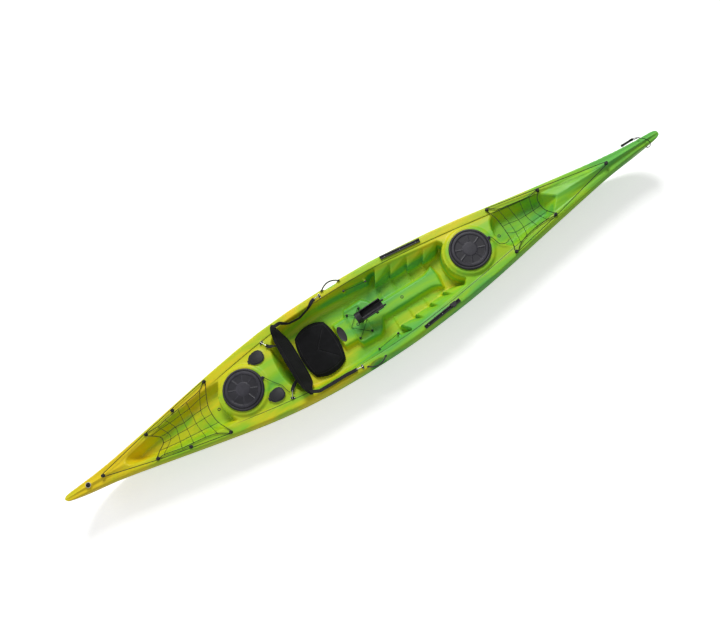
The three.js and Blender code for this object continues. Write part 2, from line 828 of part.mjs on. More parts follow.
function closedLoft(rings) {
  const n = rings[0].length;
  const last = rings[rings.length - 1];
  const shift = nearestShift(last, rings[0]);
  const faces = [];
  for (let r = 0; r < rings.length; r++)
    for (let i = 0; i < n; i++) {
      const turn = r + 1 === rings.length ? shift : 0;
      const next = (r + 1) % rings.length;
      const a = r * n + i;
      const b = r * n + ((i + 1) % n);
      const c = next * n + ((i + 1 + turn) % n);
      const d = next * n + ((i + turn) % n);
      faces.push(a, b, c, a, c, d);
    }
  const made = toSolid(indexed(rings.flat(), faces));
  if (made.volume() > 0) return made;
  const turned = [];
  for (let f = 0; f < faces.length; f += 3) turned.push(faces[f], faces[f + 2], faces[f + 1]);
  return toSolid(indexed(rings.flat(), turned));
}

// How many places a ring is turned against the ring that it closes on.
function nearestShift(ring, first) {
  let best = 0;
  let least = Infinity;
  for (let shift = 0; shift < ring.length; shift++) {
    const apart = ring.reduce((sum, p, i) => {
      const q = first[(i + shift) % ring.length];
      return sum + Math.hypot(p[0] - q[0], p[1] - q[1], p[2] - q[2]);
    }, 0);
    if (apart < least) [least, best] = [apart, shift];
  }
  return best;
}

// A flat band along points; across holds its width direction at each point.
function ribbon(points, across, width, thick) {
  const at = points.map((p) => new THREE.Vector3(...p));
  const rings = at.map((centre, i) => {
    const into = centre.clone().sub(at[Math.max(i - 1, 0)]).normalize();
    const out = at[Math.min(i + 1, at.length - 1)].clone().sub(centre).normalize();
    const along = into.add(out).normalize();
    const wide = new THREE.Vector3(...across[i]).normalize();
    wide.addScaledVector(along, -wide.dot(along)).normalize();
    const up = new THREE.Vector3().crossVectors(along, wide);
    return [[1, 1], [-1, 1], [-1, -1], [1, -1]].map(([w, t]) =>
      centre.clone().addScaledVector(wide, (w * width) / 2).addScaledVector(up, (t * thick) / 2).toArray(),
    );
  });
  return solidLoft(rings);
}

// Hatches

const hatchSides = 28;

function hatchFrame() {
  const neck = hatchBore + frameWall;
  const flange = hatchBore + frameFlange;
  const profile = [
    [hatchBore, -frameDepth], [neck, -frameDepth], [neck, clearance], [flange, clearance],
    [flange, frameHeight], [hatchBore, frameHeight], [hatchBore, -frameDepth],
  ];
  return revolved(profile, hatchSides);
}

// Lid section shares: out of its radius, up of its height, from the skirt's foot to the middle.
const lidShares = [
  [1, 0.5], [0.95, 0.84], [0.9, 0.82], [0.88, 0.68], [0.84, 0.98], [0.74, 1], [0.7, 0.78], [0.35, 0.78],
  [0.32, 0.92], [0, 0.92],
];
const lidRibs = 8;
const lidRibWidth = 6;

function hatchLid() {
  const under = frameHeight + clearance;
  const skirt = hatchBore + frameFlange + clearance * 2;
  const profile = [
    [0, under], [skirt, under], [skirt, clearance], [lidRadius, clearance],
    ...lidShares.map(([out, up]) => [out * lidRadius, up * lidHeight]),
  ];
  const list = [revolved(profile, hatchSides)];
  const from = lidRadius * 0.33;
  const to = lidRadius * 0.72;
  for (let i = 0; i < lidRibs; i++) {
    const rib = box(to - from, lidRibWidth, lidHeight * 0.2, (from + to) / 2, 0, lidHeight * 0.78);
    list.push(rib.rotate([0, 0, ((i + 0.5) * 360) / lidRibs]));
  }
  const lug = roundedBox(lidWall * 5, lidWall * 5, lidWall * 2, lidHeight * 0.2, lidHeight * 0.5, 2);
  const lugHole = disc(lugBore, -lidHeight, lidHeight, 8, lidRadius + lidWall * 1.2, 0);
  list.push(lug.translate([lidRadius + lidWall / 2, 0, 0]));
  const whole = unite(list).subtract(lugHole);
  const room = disc(skirt, -cutOver, under, hatchSides);
  return whole.subtract(room);
}

const lugBore = tetherCord / 2 + clearance * 3;

function onHatch(solid, i) {
  return solid.translate([hatchX[i], 0, hatchTop(i)]);
}

// The cord from each lid's lug to what it is tied to on deck.
function tether(i, route) {
  const x = hatchX[i] + lidRadius + lidWall * 1.2;
  const z = hatchTop(i);
  const start = [
    [x, 0, z + lidHeight * 0.05], [x, 0, z + lidHeight * 0.7],
    [x + lidWall * 2.6, -lidWall, z + lidHeight * 0.72], [x + lidWall * 4, -lidWall * 4, z + lidHeight * 0.6],
  ];
  return tube([...start, ...route], tetherCord / 2, 5);
}

// Deck buttons, bungees and nets

function deckButton() {
  const top = buttonBase + buttonStemHeight;
  const profile = [
    [0, 0], [buttonRadius, 0], [buttonStem * 1.3, buttonBase], [buttonStem, top], [buttonCap, top],
    [buttonCap * 0.75, top + buttonCapHeight], [0, top + buttonCapHeight],
  ];
  return revolved(profile, 8);
}

// Two cords lie one over the other round each button's stem, with slack under its cap.
const buttonStemHeight = cord * 2.5;
const stemReach = buttonStem * 1.3 + cord / 2 + clearance;

function cordHeight(name, layer) {
  return buttonTop(buttonPlaces[name]) + clearance + buttonBase + (layer + 0.5) * (cord + clearance) + clearance;
}

// A point beside a button's stem, at a compass angle from the bow.
function atStem(name, angle, layer, share = 1) {
  const [x, y] = buttonPlaces[name];
  const a = angle * rad;
  const reach = stemReach / share;
  return [x + reach * Math.cos(a), y + reach * Math.sin(a), cordHeight(name, layer)];
}

// A cord's points round a stem, wide enough for its straight runs to clear the stem.
function roundStem(name, [from, to], layer) {
  const steps = Math.max(Math.ceil(Math.abs(to - from) / 60), 1);
  const step = (to - from) / steps;
  return Array.from({ length: steps + 1 }, (_, i) => atStem(name, from + step * i, layer, Math.cos((step / 2) * rad)));
}

function bowBungee() {
  const route = [
    ...roundStem("front_inner_port", [-60, -260], 1),
    atStem("front_outer_port", 90, 1),
    ...roundStem("bow", [80, -80], 1),
    atStem("front_outer_starboard", -90, 1),
    ...roundStem("front_inner_starboard", [260, 60], 1),
  ];
  return tube(route, cord / 2, 5);
}

function sternBungee() {
  const route = [
    ...roundStem("rear_inner_port", [-120, 80], 1),
    atStem("rear_middle_port", 90, 1),
    atStem("rear_outer_port", 90, 1),
    ...roundStem("stern", [100, 260], 1),
    atStem("rear_outer_starboard", -90, 1),
    atStem("rear_middle_starboard", -90, 1),
    ...roundStem("rear_inner_starboard", [-80, 120], 1),
  ];
  return tube(route, cord / 2, 5);
}

// A net's points lie level between the cords that hold it, at its corners' own heights.
function netHeight(x, [x1, z1], [x2, z2]) {
  return z1 + ((z2 - z1) * (x - x1)) / (x2 - x1);
}

// Routes of the nets, in plan, port to starboard and aft to forward.
const frontNet = {
  rear: [[1136, 95], [1139, -14], [1131, -118]],
  front: [[1449, 57], [1441, -14], [1458, -57]],
  port: [[1411, 104], [1252, 129], [1190, 143]],
  starboard: [[1178, -150], [1242, -127], [1340, -110], [1423, -108]],
  across: [
    [[1183, 143], [1192, 14], [1190, -64], [1178, -150]],
    [[1250, 129], [1257, 0], [1256, -64], [1242, -127]],
    [[1341, 116], [1316, 0], [1326, -64], [1340, -110]],
    [[1411, 104], [1379, 0], [1395, -60], [1420, -108]],
  ],
  along: [
    [[1139, 21], [1192, 14], [1257, 0], [1316, 0], [1379, 0], [1443, 4]],
    [[1137, -35], [1190, -64], [1256, -64], [1326, -64], [1395, -60], [1458, -57]],
  ],
};
const rearNet = {
  front: [[-1244, 62], [-1253, -18], [-1240, -100]],
  rear: [[-1639, 28], [-1637, -21], [-1680, -53]],
  port: [[-1623, 99], [-1556, 113], [-1444, 130], [-1370, 142], [-1252, 166]],
  starboard: [[-1670, -93], [-1539, -121], [-1453, -131], [-1360, -143], [-1281, -163]],
  across: [
    [[-1623, 99], [-1580, 25], [-1580, -25], [-1670, -93]],
    [[-1556, 113], [-1516, 32], [-1519, -21], [-1539, -121]],
    [[-1444, 130], [-1448, 25], [-1449, -25], [-1453, -131]],
    [[-1370, 142], [-1374, 35], [-1377, -25], [-1370, -88], [-1360, -143]],
    [[-1252, 166], [-1308, 39], [-1311, -25], [-1300, -95], [-1281, -163]],
  ],
  along: [
    [[-1684, 66], [-1622, 74], [-1526, 78], [-1444, 85], [-1369, 92], [-1291, 110], [-1228, 118]],
    [[-1639, 28], [-1580, 25], [-1516, 32], [-1448, 25], [-1374, 35], [-1308, 39], [-1248, 42]],
    [[-1637, -21], [-1580, -25], [-1519, -21], [-1449, -25], [-1377, -25], [-1311, -25], [-1251, -25]],
    [[-1680, -53], [-1618, -63], [-1533, -74], [-1457, -81], [-1370, -88], [-1300, -95], [-1240, -100]],
  ],
};

function net(routes, edge) {
  const [low, high] = routes.span.map((name) => [buttonPlaces[name][0], cordHeight(name, 0)]);
  const lift = ([x, y]) => [x, y, netHeight(x, low, high)];
  const list = [tube(edge(routes, lift), cord / 2, 5, true)];
  for (const line of [...routes.across, ...routes.along]) list.push(tube(line.map(lift), netLine / 2, 4));
  return unite(list);
}

function bowNet() {
  const routes = { ...frontNet, span: ["front_inner_port", "front_outer_port"] };
  return net(routes, (r, lift) => [
    ...r.rear.map(lift),
    ...roundStem("front_inner_starboard", [170, 310], 0),
    ...r.starboard.map(lift),
    ...roundStem("front_outer_starboard", [-110, 50], 0),
    ...r.front.slice().reverse().map(lift),
    ...roundStem("front_outer_port", [-50, 110], 0),
    ...r.port.map(lift),
    ...roundStem("front_inner_port", [50, 190], 0),
  ]);
}

function sternNet() {
  const routes = { ...rearNet, span: ["rear_outer_port", "rear_inner_port"] };
  return net(routes, (r, lift) => [
    ...r.front.slice().reverse().map(lift),
    ...roundStem("rear_inner_port", [-10, 130], 0),
    ...r.port.slice().reverse().map(lift),
    ...roundStem("rear_outer_port", [70, 230], 0),
    ...r.rear.map(lift),
    ...roundStem("rear_outer_starboard", [130, 290], 0),
    ...r.starboard.map(lift),
    ...roundStem("rear_inner_starboard", [-130, 10], 0),
  ]);
}

// Flush rod holders

function overFlange(side, from) {
  return box(flangeLength * 2, flangeWidth * 2, cutOver * 4, tubeX, side * tubeY, from + cutOver * 2);
}

function rodTube(side) {
  const shaft = leaned(disc(tubeBore + tubeWall, -tubeLength, cutOver, 16), side);
  const above = overFlange(side, tubeTop + clearance);
  const flange = flangePlate(0, tubeTop + clearance, tubeTop + clearance + flangeThick, side);
  const bore = leaned(disc(tubeBore, tubeWall - tubeLength, cutOver * 2, 16), side);
  return shaft.subtract(above).add(flange).subtract(bore);
}

function rodCap(side) {
  const from = tubeTop + flangeThick + clearance * 2;
  const plate = flangePlate(0, from, from + capThick / 2, side);
  const crown = flangePlate(-capThick, from + capThick / 2, from + capThick, side);
  const plug = leaned(disc(tubeBore - clearance * 3, -capPlug, cutOver, 16), side);
  const above = overFlange(side, from + clearance);
  const tab = roundedBox(capThick * 3, capThick * 4, capThick, from, from + capThick * 0.6);
  const grip = tab.translate([tubeX - flangeLength / 2, side * tubeY, 0]);
  return unite([plate, crown, plug.subtract(above), grip]);
}

// Seat

const seatGrid = 15;
const padSquareness = 0.36; // share of a corner that its rounding takes

// The seat pad: a crowned top with an inset channel and a V between the thighs.
function seatPad() {
  const rows = [];
  for (let i = 0; i <= seatGrid; i++) {
    const row = [];
    for (let j = 0; j <= seatGrid; j++) {
      const u = warp((i / seatGrid) * 2 - 1);
      const v = warp((j / seatGrid) * 2 - 1);
      const x = (u * Math.sqrt(1 - v * v * padSquareness) * padLength) / 2;
      const y = (v * Math.sqrt(1 - u * u * padSquareness) * padWidth) / 2;
      row.push([x, y, padTop(u, v)]);
    }
    rows.push(row);
  }
  return cushion(rows, [0, padHeight * 0.55]).translate([padX, 0, cockpitFloor + clearance]);
}

// Grid lines drawn toward the rim, where the pad turns down.
function warp(t) {
  return Math.sign(t) * (1 - (1 - Math.abs(t)) ** 1.35);
}

function padTop(u, v) {
  const rim = Math.max(Math.abs(u), Math.abs(v));
  const crown = 1 - 0.3 * THREE.MathUtils.smoothstep(rim, 0.86, 1);
  const channel = 0.1 * Math.exp(-(((rim - 0.86) / 0.05) ** 2));
  const fork = u + 0.1 - Math.abs(v) * 1.2;
  const inside = THREE.MathUtils.smoothstep(0.8 - u, 0, 0.2);
  const groove = 0.13 * Math.exp(-((fork / 0.13) ** 2)) * inside;
  const dish = 0.1 * Math.exp(-((u + 0.45) ** 2 + v * v) / 0.3);
  return padHeight * (crown - channel - groove - dish);
}

// A cushion from rows of its top: sides fall to a waist and a flat foot.
function cushion(rows, [foot, waist]) {
  const n = rows.length;
  const m = rows[0].length;
  const points = rows.flat();
  const faces = [];
  for (let i = 0; i + 1 < n; i++)
    for (let j = 0; j + 1 < m; j++) {
      const a = i * m + j;
      faces.push(a, a + m, a + m + 1, a, a + m + 1, a + 1);
    }
  const rim = [];
  for (let j = 0; j < m; j++) rim.push(j);
  for (let i = 1; i < n; i++) rim.push(i * m + m - 1);
  for (let j = m - 2; j >= 0; j--) rim.push((n - 1) * m + j);
  for (let i = n - 2; i > 0; i--) rim.push(i * m);
  let last = rim;
  for (const [height, out] of [[waist, 1.02], [foot + coveHeight / 4, 1.015], [foot, 0.97]]) {
    const next = rim.map((r) => points.push([points[r][0] * out, points[r][1] * out, height]) - 1);
    last.forEach((a, k) => {
      const l = (k + 1) % rim.length;
      faces.push(a, last[l], next[l], a, next[l], next[k]);
    });
    last = next;
  }
  const flat = last.map((k) => new THREE.Vector2(points[k][0], points[k][1]));
  const turn = THREE.ShapeUtils.isClockWise(flat);
  const order = turn ? last.slice().reverse() : last;
  for (const [a, b, c] of THREE.ShapeUtils.triangulateShape(turn ? flat.slice().reverse() : flat, []))
    faces.push(order[a], order[c], order[b]);
  const made = toSolid(indexed(points, faces));
  if (made.volume() > 0) return made;
  for (let f = 0; f < faces.length; f += 3) [faces[f + 1], faces[f + 2]] = [faces[f + 2], faces[f + 1]];
  return toSolid(indexed(points, faces));
}

// Backrest: lower and upper edge along its slope, by distance from the middle, as shares.
const backLowShares = [[0, 0], [0.4, 0], [0.62, 0.06], [0.8, 0.22], [0.92, 0.34], [1, 0.4]];
const backHighShares = [[0, 1], [0.5, 0.98], [0.75, 0.86], [0.9, 0.7], [1, 0.58]];
const backX = padX - padLength / 2 - backEdge / 2;
const backZ = cockpitFloor + padHeight;
const backSteps = 20;

function backPoint(s, v, out) {
  const slope = backRecline * rad;
  const low = tableAt(backLowShares, Math.abs(s)) * backLength;
  const high = tableAt(backHighShares, Math.abs(s)) * backLength;
  const along = THREE.MathUtils.lerp(low, high, v);
  const lift = wingLift * THREE.MathUtils.smoothstep(Math.abs(s), 0.6, 0.9);
  return [
    backX - Math.sin(slope) * along + Math.cos(slope) * out,
    s * backHalf,
    backZ + Math.cos(slope) * along + Math.sin(slope) * out + lift,
  ];
}

function backSpread(s) {
  return THREE.MathUtils.lerp(backThick, backEdge, Math.abs(s) ** 1.5);
}

// Section shares round the pad: place up its slope, and how far out of its thickness.
const backSectionShares = [
  [0, 0], [0.04, 0.28], [0.1, 0.4], [0.15, 0.32], [0.22, 0.43], [0.5, 0.5], [0.78, 0.43], [0.85, 0.32],
  [0.9, 0.4], [0.96, 0.28], [1, 0], [0.9, -0.3], [0.1, -0.3],
];

function backrest() {
  const rings = [];
  for (let i = 0; i <= backSteps; i++) {
    const s = (i / backSteps) * 2 - 1;
    const end = 1 - 0.35 * THREE.MathUtils.smoothstep(Math.abs(s), 0.93, 1);
    rings.push(backSectionShares.map(([v, out]) => backPoint(s, 0.5 + (v - 0.5) * end, out * backSpread(s))));
  }
  return solidLoft(rings);
}

// A pad eye in its own frame: it is pulled toward +X and its bar runs across.
function padEye() {
  const plate = roundedBox(eyeWidth, eyeLength, eyeWidth * 0.4, 0, eyeBase, 1);
  const s = eyeSpan / 2;
  const low = eyeBase - clearance * 3;
  const shoulder = eyeRise * 0.6;
  const bar = [
    [0, -s, low], [0, -s, shoulder], [0, -s * 0.6, eyeRise], [0, s * 0.6, eyeRise], [0, s, shoulder], [0, s, low],
  ];
  return plate.add(tube(bar, eyeWire / 2, 5));
}

// The hook lies level on its eye's plate, round the bar.
const hookSeat = eyeBase + clearance + hookWire / 2;
const hookMiddle = hookSeat + hookHeight / 2;
const hookEye = 0.92; // share of a hook's length to the bar that carries the webbing

function snapHook() {
  const end = hookLength;
  const top = hookSeat + hookHeight;
  const nose = eyeWire * 1.4;
  const loop = [
    [-nose, hookMiddle], [-nose * 0.6, hookSeat], [end * 0.8, hookSeat],
    [end * hookEye, hookSeat + hookHeight * 0.25], [end * hookEye, top - hookHeight * 0.25], [end * 0.8, top],
    [-nose * 0.6, top - hookHeight * 0.1],
  ];
  return tube(loop.map(([x, z]) => [x, 0, z]), hookWire / 2, 5, true);
}

function atEye(solid, which, side) {
  const [x, y, turn] = eyePlaces[which];
  const z = deckTop(x, y, eyeLength / 2) + clearance;
  return solid.rotate([0, 0, side * turn]).translate([x, side * y, z]);
}

// Where the webbing goes round its hook, and the direction that it leaves in.
function hookEnd(which, side, along) {
  const [x, y, turn] = eyePlaces[which];
  const a = side * turn * rad;
  const z = deckTop(x, y, eyeLength / 2) + clearance + hookMiddle;
  return [x + Math.cos(a) * along, side * y + Math.sin(a) * along, z];
}

// How far a band's width may turn between two of its rings, in degrees. A twisted band's two
// faces meet in its middle once the turn passes twice its thickness over its width.
const bandTurnShare = 0.55;
const bandTurn = ((2 * webThick) / webWidth / rad) * bandTurnShare;

// A band's route with rings added between its points, so that it turns gently.
function eased(points, across) {
  const made = { at: [points[0]], wide: [across[0]] };
  for (let i = 1; i < points.length; i++) {
    const [a, b] = [across[i - 1], across[i]].map((v) => new THREE.Vector3(...v).normalize());
    const steps = Math.max(Math.ceil(a.angleTo(b) / (bandTurn * rad)), 1);
    for (let k = 1; k <= steps; k++) {
      made.wide.push(a.clone().lerp(b, k / steps).toArray());
      made.at.push(points[i - 1].map((c, j) => c + ((points[i][j] - c) * k) / steps));
    }
  }
  return made;
}

function strap(which, side, route, across) {
  const wire = hookLength * hookEye;
  const turn = eyePlaces[which][2] * side * rad;
  const level = [-Math.sin(turn), Math.cos(turn), 0];
  const points = [hookEnd(which, side, wire - hookWire * 2), hookEnd(which, side, wire + webWidth / 2), ...route];
  const { at, wide } = eased(points, [level, level, ...across]);
  const band = ribbon(at, wide, webWidth, webThick);
  const eye = hookEnd(which, side, wire);
  const hole = disc(hookWire / 2 + clearance * 2, eye[2] - webThick * 2, eye[2] + webThick * 2, 8, eye[0], eye[1]);
  return band.subtract(hole);
}

// The front straps are sewn up the front of the wings, the rear ones inboard along the pad's back.
const wingShare = 0.94;
const wingUpShares = [0.2, 0.75];
const sewnShares = [0.47, 0.38];
const sewnUpShare = 0.8;
const backFaceShare = 0.3; // the back face's place in the pad's thickness
const sewnGap = clearance * 2 + webThick / 2;
const strapRoutes = {
  [1]: [[-318, 258, 282], [-400, 240, 264], [-490, 244, 274], [-538, 275, 302]],
  [-1]: [[-320, -290, 293], [-450, -288, 293], [-538, -287, 298]],
};
// The band's width direction at each point of its route: on edge to port, flat to starboard.
const strapTurns = {
  [1]: [[0, -0.25, -1], [0, -0.25, -1], [0, -0.25, -1], [0, -0.8, -0.6]],
  [-1]: [[0, -1, 0], [0, -1, 0], [0, -1, 0]],
};

function frontStrap(side) {
  const lay = (v) => backPoint(side * wingShare, v, backSpread(wingShare) / 2 + sewnGap);
  const flat = wingUpShares.map(() => [0, -1, 0]);
  return strap("front", side, [...strapRoutes[side], ...wingUpShares.map(lay)], [...strapTurns[side], ...flat]);
}

function rearStrap(side) {
  if (side < 0) return mirrorY(rearStrap(-side));
  const lay = (s) => backPoint(side * s, sewnUpShare, -backSpread(s) * backFaceShare - sewnGap);
  const down = [Math.sin(backRecline * rad), 0, -Math.cos(backRecline * rad)];
  return strap("rear", side, sewnShares.map(lay), sewnShares.map(() => down));
}

// Side handles

const handleSteps = 8;

function sideHandle(side) {
  const z = gripTop + clearance + gripPivot / 2;
  const reach = (gripSpan + gripPivot) / 2;
  const points = [];
  const across = [];
  for (let i = 0; i <= handleSteps; i++) {
    const s = (i / handleSteps) * 2 - 1;
    points.push([gripX + s * reach, side * (gripY + gripBow * (1 - s * s)), z]);
    across.push([0, 0, 1]);
  }
  const list = [ribbon(points, across, gripWidth - gripThick / 2, gripThick)];
  for (const end of [-1, 1]) {
    const pivot = disc(gripPivot / 2, -gripPivot * 0.7, gripPivot * 0.7, 10).rotate([0, 90, 0]);
    list.push(pivot.translate([gripX + end * reach, side * gripY, z]));
  }
  return unite(list);
}

// Gear tracks

function gearTrack(side) {
  const w = trackWidth / 2;
  const m = trackMouth / 2;
  const s = trackSlot / 2;
  const lip = trackHeight - trackLip;
  const floor = lip - trackSlotHeight;
  const section = [
    [-w, 0], [w, 0], [w, trackHeight], [m, trackHeight], [m, lip], [s, lip], [s, floor], [-s, floor],
    [-s, lip], [-m, lip], [-m, trackHeight], [-w, trackHeight],
  ];
  const ends = [-trackLength / 2, trackLength / 2];
  const rail = solidLoft(ends.map((x) => section.map(([y, z]) => [x, y, z + clearance])));
  return onTrack(rail, side);
}

function trackCar() {
  const lip = trackHeight - trackLip + clearance;
  const floor = lip - trackSlotHeight;
  const nut = box(carLength * 0.7, trackSlot - clearance * 4, trackSlotHeight - clearance * 2, 0, 0, (lip + floor) / 2);
  const neckHeight = trackHeight + clearance * 3 - floor;
  const neck = box(carLength * 0.4, trackMouth - clearance * 4, neckHeight, 0, 0, floor + clearance + neckHeight / 2);
  const body = roundedBox(carLength, trackWidth + trackLip * 2, trackLip * 2, trackHeight + clearance * 2, trackHeight + carHeight);
  return onTrack(unite([nut, neck, body]), -1, carX);
}

function trackKnob() {
  const lobes = new THREE.Shape();
  const steps = 30;
  for (let i = 0; i < steps; i++) {
    const a = (i / steps) * 2 * Math.PI;
    const r = knobRadius * (1 + 0.09 * Math.cos(a * 6));
    if (i) lobes.lineTo(r * Math.cos(a), r * Math.sin(a));
    else lobes.moveTo(r * Math.cos(a), r * Math.sin(a));
  }
  const body = toSolid(new THREE.ExtrudeGeometry(lobes, { depth: knobHeight, bevelEnabled: false }));
  const z = trackHeight + carHeight + clearance;
  return onTrack(body.translate([0, -trackWidth * 0.3, z]), -1, carX);
}

// Adjustable rod holder

const rodPivotZ = ridgeTop + rodBaseHeight + rodPostHeight + rodPost + clearance * 2;

function rodFoot() {
  const profile = [
    [0, clearance], [rodBase, clearance], [rodBase, rodBaseHeight * 0.6], [rodBase * 0.85, rodBaseHeight], [0, rodBaseHeight],
  ];
  return revolved(profile, 20).translate([rodX, rodY, ridgeTop]);
}

function rodSwivel() {
  const low = ridgeTop + rodBaseHeight + clearance;
  const post = disc(rodPost, low, rodPivotZ, 18, rodX, rodY);
  const eye = disc(rodPost, -rodPost, rodPost, 18).rotate([90, 0, 0]);
  return post.add(eye.translate([rodX, rodY, rodPivotZ]));
}

function cradle() {
  const trough = cradleOuter + rodPost + clearance * 4;
  const outer = disc(cradleOuter, 0, cradleLength, 16).rotate([0, 90, 0]);
  const inner = disc(cradleOuter - cradleWall, cradleWall, cradleLength + cutOver, 16).rotate([0, 90, 0]);
  const mouth = box(cradleLength, cradleOuter * 2, cradleOuter, cradleLength / 2 + cradleWall * 7, 0, cradleOuter * 0.72);
  const cup = outer.subtract(inner).subtract(mouth.scale([1, 1.2, 1]));
  const list = [cup.translate([-rodBase, 0, trough])];
  for (const side of [-1, 1]) {
    const y = side * (cradleOuter - cradleWall - prongRadius) * 0.75;
    const rod = disc(prongRadius, 0, prongLength + prongTip * 0.4, 8).rotate([0, 90, 0]);
    list.push(rod.translate([cradleLength - rodBase - prongLength, y, trough - cradleOuter * 0.72]));
    const ear = box(rodPost * 2, cradleWall, rodPost * 2.6, 0, side * (rodPost + clearance + cradleWall / 2), rodPost * 0.5);
    list.push(ear);
    const knob = disc(prongRadius * 1.2, 0, prongRadius * 1.6, 10).rotate([90, 0, 0]);
    list.push(knob.translate([cradleLength * 0.62, -cradleOuter + prongRadius * 0.4, trough + side * prongRadius * 1.6]));
  }
  return unite(list).rotate([0, -cradleTilt, 0]).translate([rodX, rodY, rodPivotZ]);
}

// Console tray

const hookX = trayLength / 2 - trayLip - hookPost * 2;
const hookY = trayWidth / 2 - trayLip - hookPost * 5;

function trayHook(ex, ey) {
  const top = trayRise + netLine + clearance * 4;
  const neck = hookPost * 0.8;
  const profile = [
    [0, clearance], [hookPost * 1.8, clearance], [neck, hookPost], [neck, top], [hookPost * 1.5, top],
    [hookPost, top + hookPost * 0.8], [0, top + hookPost * 0.8],
  ];
  return revolved(profile, 8).translate([trayX + ex * hookX, ey * hookY, ridgeTop]);
}

const trayCordZ = ridgeTop + trayRise + netLine / 2 + clearance * 2;
const cleat = hookPost * 0.8;
const cleatX = trayLength / 2 - trayLip - cleat * 0.6;
const cleatReach = cleat + netLine / 2 + clearance * 2;

// The tray's two moulded cleats, at the middle of its front and rear lips.
function trayCleats() {
  const top = trayCordZ + netLine;
  return [-1, 1].map((end) => disc(cleat, ridgeTop - wall / 2, top, 8, trayX + end * cleatX, 0));
}

// Points round a post at [x, y] from the tray's middle, between two compass angles.
function roundPost([x, y], [from, to]) {
  const steps = Math.max(Math.ceil(Math.abs(to - from) / 90), 1);
  const step = (to - from) / steps;
  const reach = cleatReach / Math.cos((step / 2) * rad);
  return Array.from({ length: steps + 1 }, (_, i) => {
    const a = (from + step * i) * rad;
    return [trayX + x + reach * Math.cos(a), y + reach * Math.sin(a), trayCordZ];
  });
}

// Two cords crossing in the tray, each from two hooks round the far cleat.
function trayBungee() {
  const cords = [1, -1].map((end) => {
    const turn = end > 0 ? 0 : 180;
    const route = [
      ...roundPost([end * hookX, hookY], [turn - end * 45, turn + end * 125]),
      ...roundPost([-end * cleatX, 0], [turn + end * 125, turn + end * 235]),
      ...roundPost([end * hookX, -hookY], [turn - end * 125, turn + end * 45]),
    ];
    return tube(route, netLine / 2, 5);
  });
  return cords[0].add(cords[1]);
}

// Paddle keepers

const keeperPlaces = [[-37, 246], [130, 222]];
const keeperTop = gunwaleHeight - 38;

function keeperPads(side) {
  return keeperPlaces.map(([x, y]) => {
    const reach = buttonRadius * 3;
    return box(buttonRadius * 1.6, reach, wall * 2, x, side * (y + reach / 2 - buttonRadius * 0.7), keeperTop - wall);
  });
}

function paddleKeeper(side) {
  const z = keeperTop + clearance + hookPost * 0.7;
  const [rear, front] = keeperPlaces.map(([x, y]) => [x, side * y]);
  const list = [rear, front].map(([x, y]) =>
    roundedBox(buttonRadius * 1.4, buttonRadius, hookPost * 0.6, keeperTop + clearance, z + hookPost * 0.7, 1).translate([x, y, 0]),
  );
  const sag = hookPost;
  const line = [0, 0.25, 0.5, 0.75, 1].map((s) => [
    rear[0] + (front[0] - rear[0]) * s,
    rear[1] + (front[1] - rear[1]) * s,
    z - sag * 4 * s * (1 - s),
  ]);
  return unite([...list, tube(line, netLine / 2, 5)]);
}

// Bow loop, toggle and drain plug

const bowLoopRoute = [
  [2285, -41, 297], [2285, 41, 297], [2278, 49, 295], [2235, 58, 285], [2206, 60, 281], [2197, 60, 286],
  [2195, 60, 300], [2197, 60, 315], [2206, 60, 323], [2232, 54, 330], [2254, 40, 340], [2268, 22, 348],
  [2284, 2, 351], [2298, -20, 347], [2304, -38, 336], [2301, -51, 318], [2292, -50, 302],
];
const toggleAt = [2195, 60, 300];
const bowHoleAt = [2285, 0, 297];

function bowToggle() {
  const end = toggleLength / 2;
  const profile = [
    [0, -end], [toggleRadius * 0.75, -end], [toggleRadius, -end * 0.85], [toggleRadius * 0.85, -end * 0.4],
    [toggleRadius * 0.85, end * 0.4], [toggleRadius, end * 0.85], [toggleRadius * 0.75, end], [0, end],
  ];
  const body = revolved(profile, 10).rotate([0, 90, 0]);
  const hole = disc(cord / 2 + clearance * 5, -toggleRadius * 2, toggleRadius * 2, 8);
  return body.subtract(hole).translate(toggleAt);
}

function bowHole() {
  const hole = disc(cord / 2 + clearance * 2, -hullBeam / 2, hullBeam / 2, 8).rotate([90, 0, 0]);
  return hole.translate(bowHoleAt);
}

const plugTop = deckTop(plugX, 0, plugFlange);
const plugShank = plugRadius * 0.75;

function drainPlug() {
  const profile = [
    [0, -plugHead * 1.5], [plugShank, -plugHead * 1.5], [plugShank, clearance], [plugFlange, clearance],
    [plugFlange, plugHead * 0.3], [plugRadius, plugHead * 0.4], [plugRadius, plugHead], [0, plugHead],
  ];
  const slot = box(plugRadius * 3, plugHead * 0.35, plugHead, 0, 0, plugHead * 1.1);
  return revolved(profile, 12).subtract(slot).translate([plugX, 0, plugTop]);
}

// The part

const parts = new THREE.Group();
parts.name = "sea_kayak";

function add(name, solid, colour, roughness = 0.6, metalness = 0) {
  const material = new THREE.MeshStandardMaterial({ color: colour, roughness, metalness });
  const mesh = new THREE.Mesh(toGeometry(solid.simplify(clearance / 6)), material);
  mesh.name = name;
  parts.add(mesh);
}

const lime = 0x9ccf1e;
const lidGrey = 0x3b3b44;
const black = 0x1b1b1e;
const steel = 0xb9bcc0;
const sides = { port: 1, starboard: -1 };

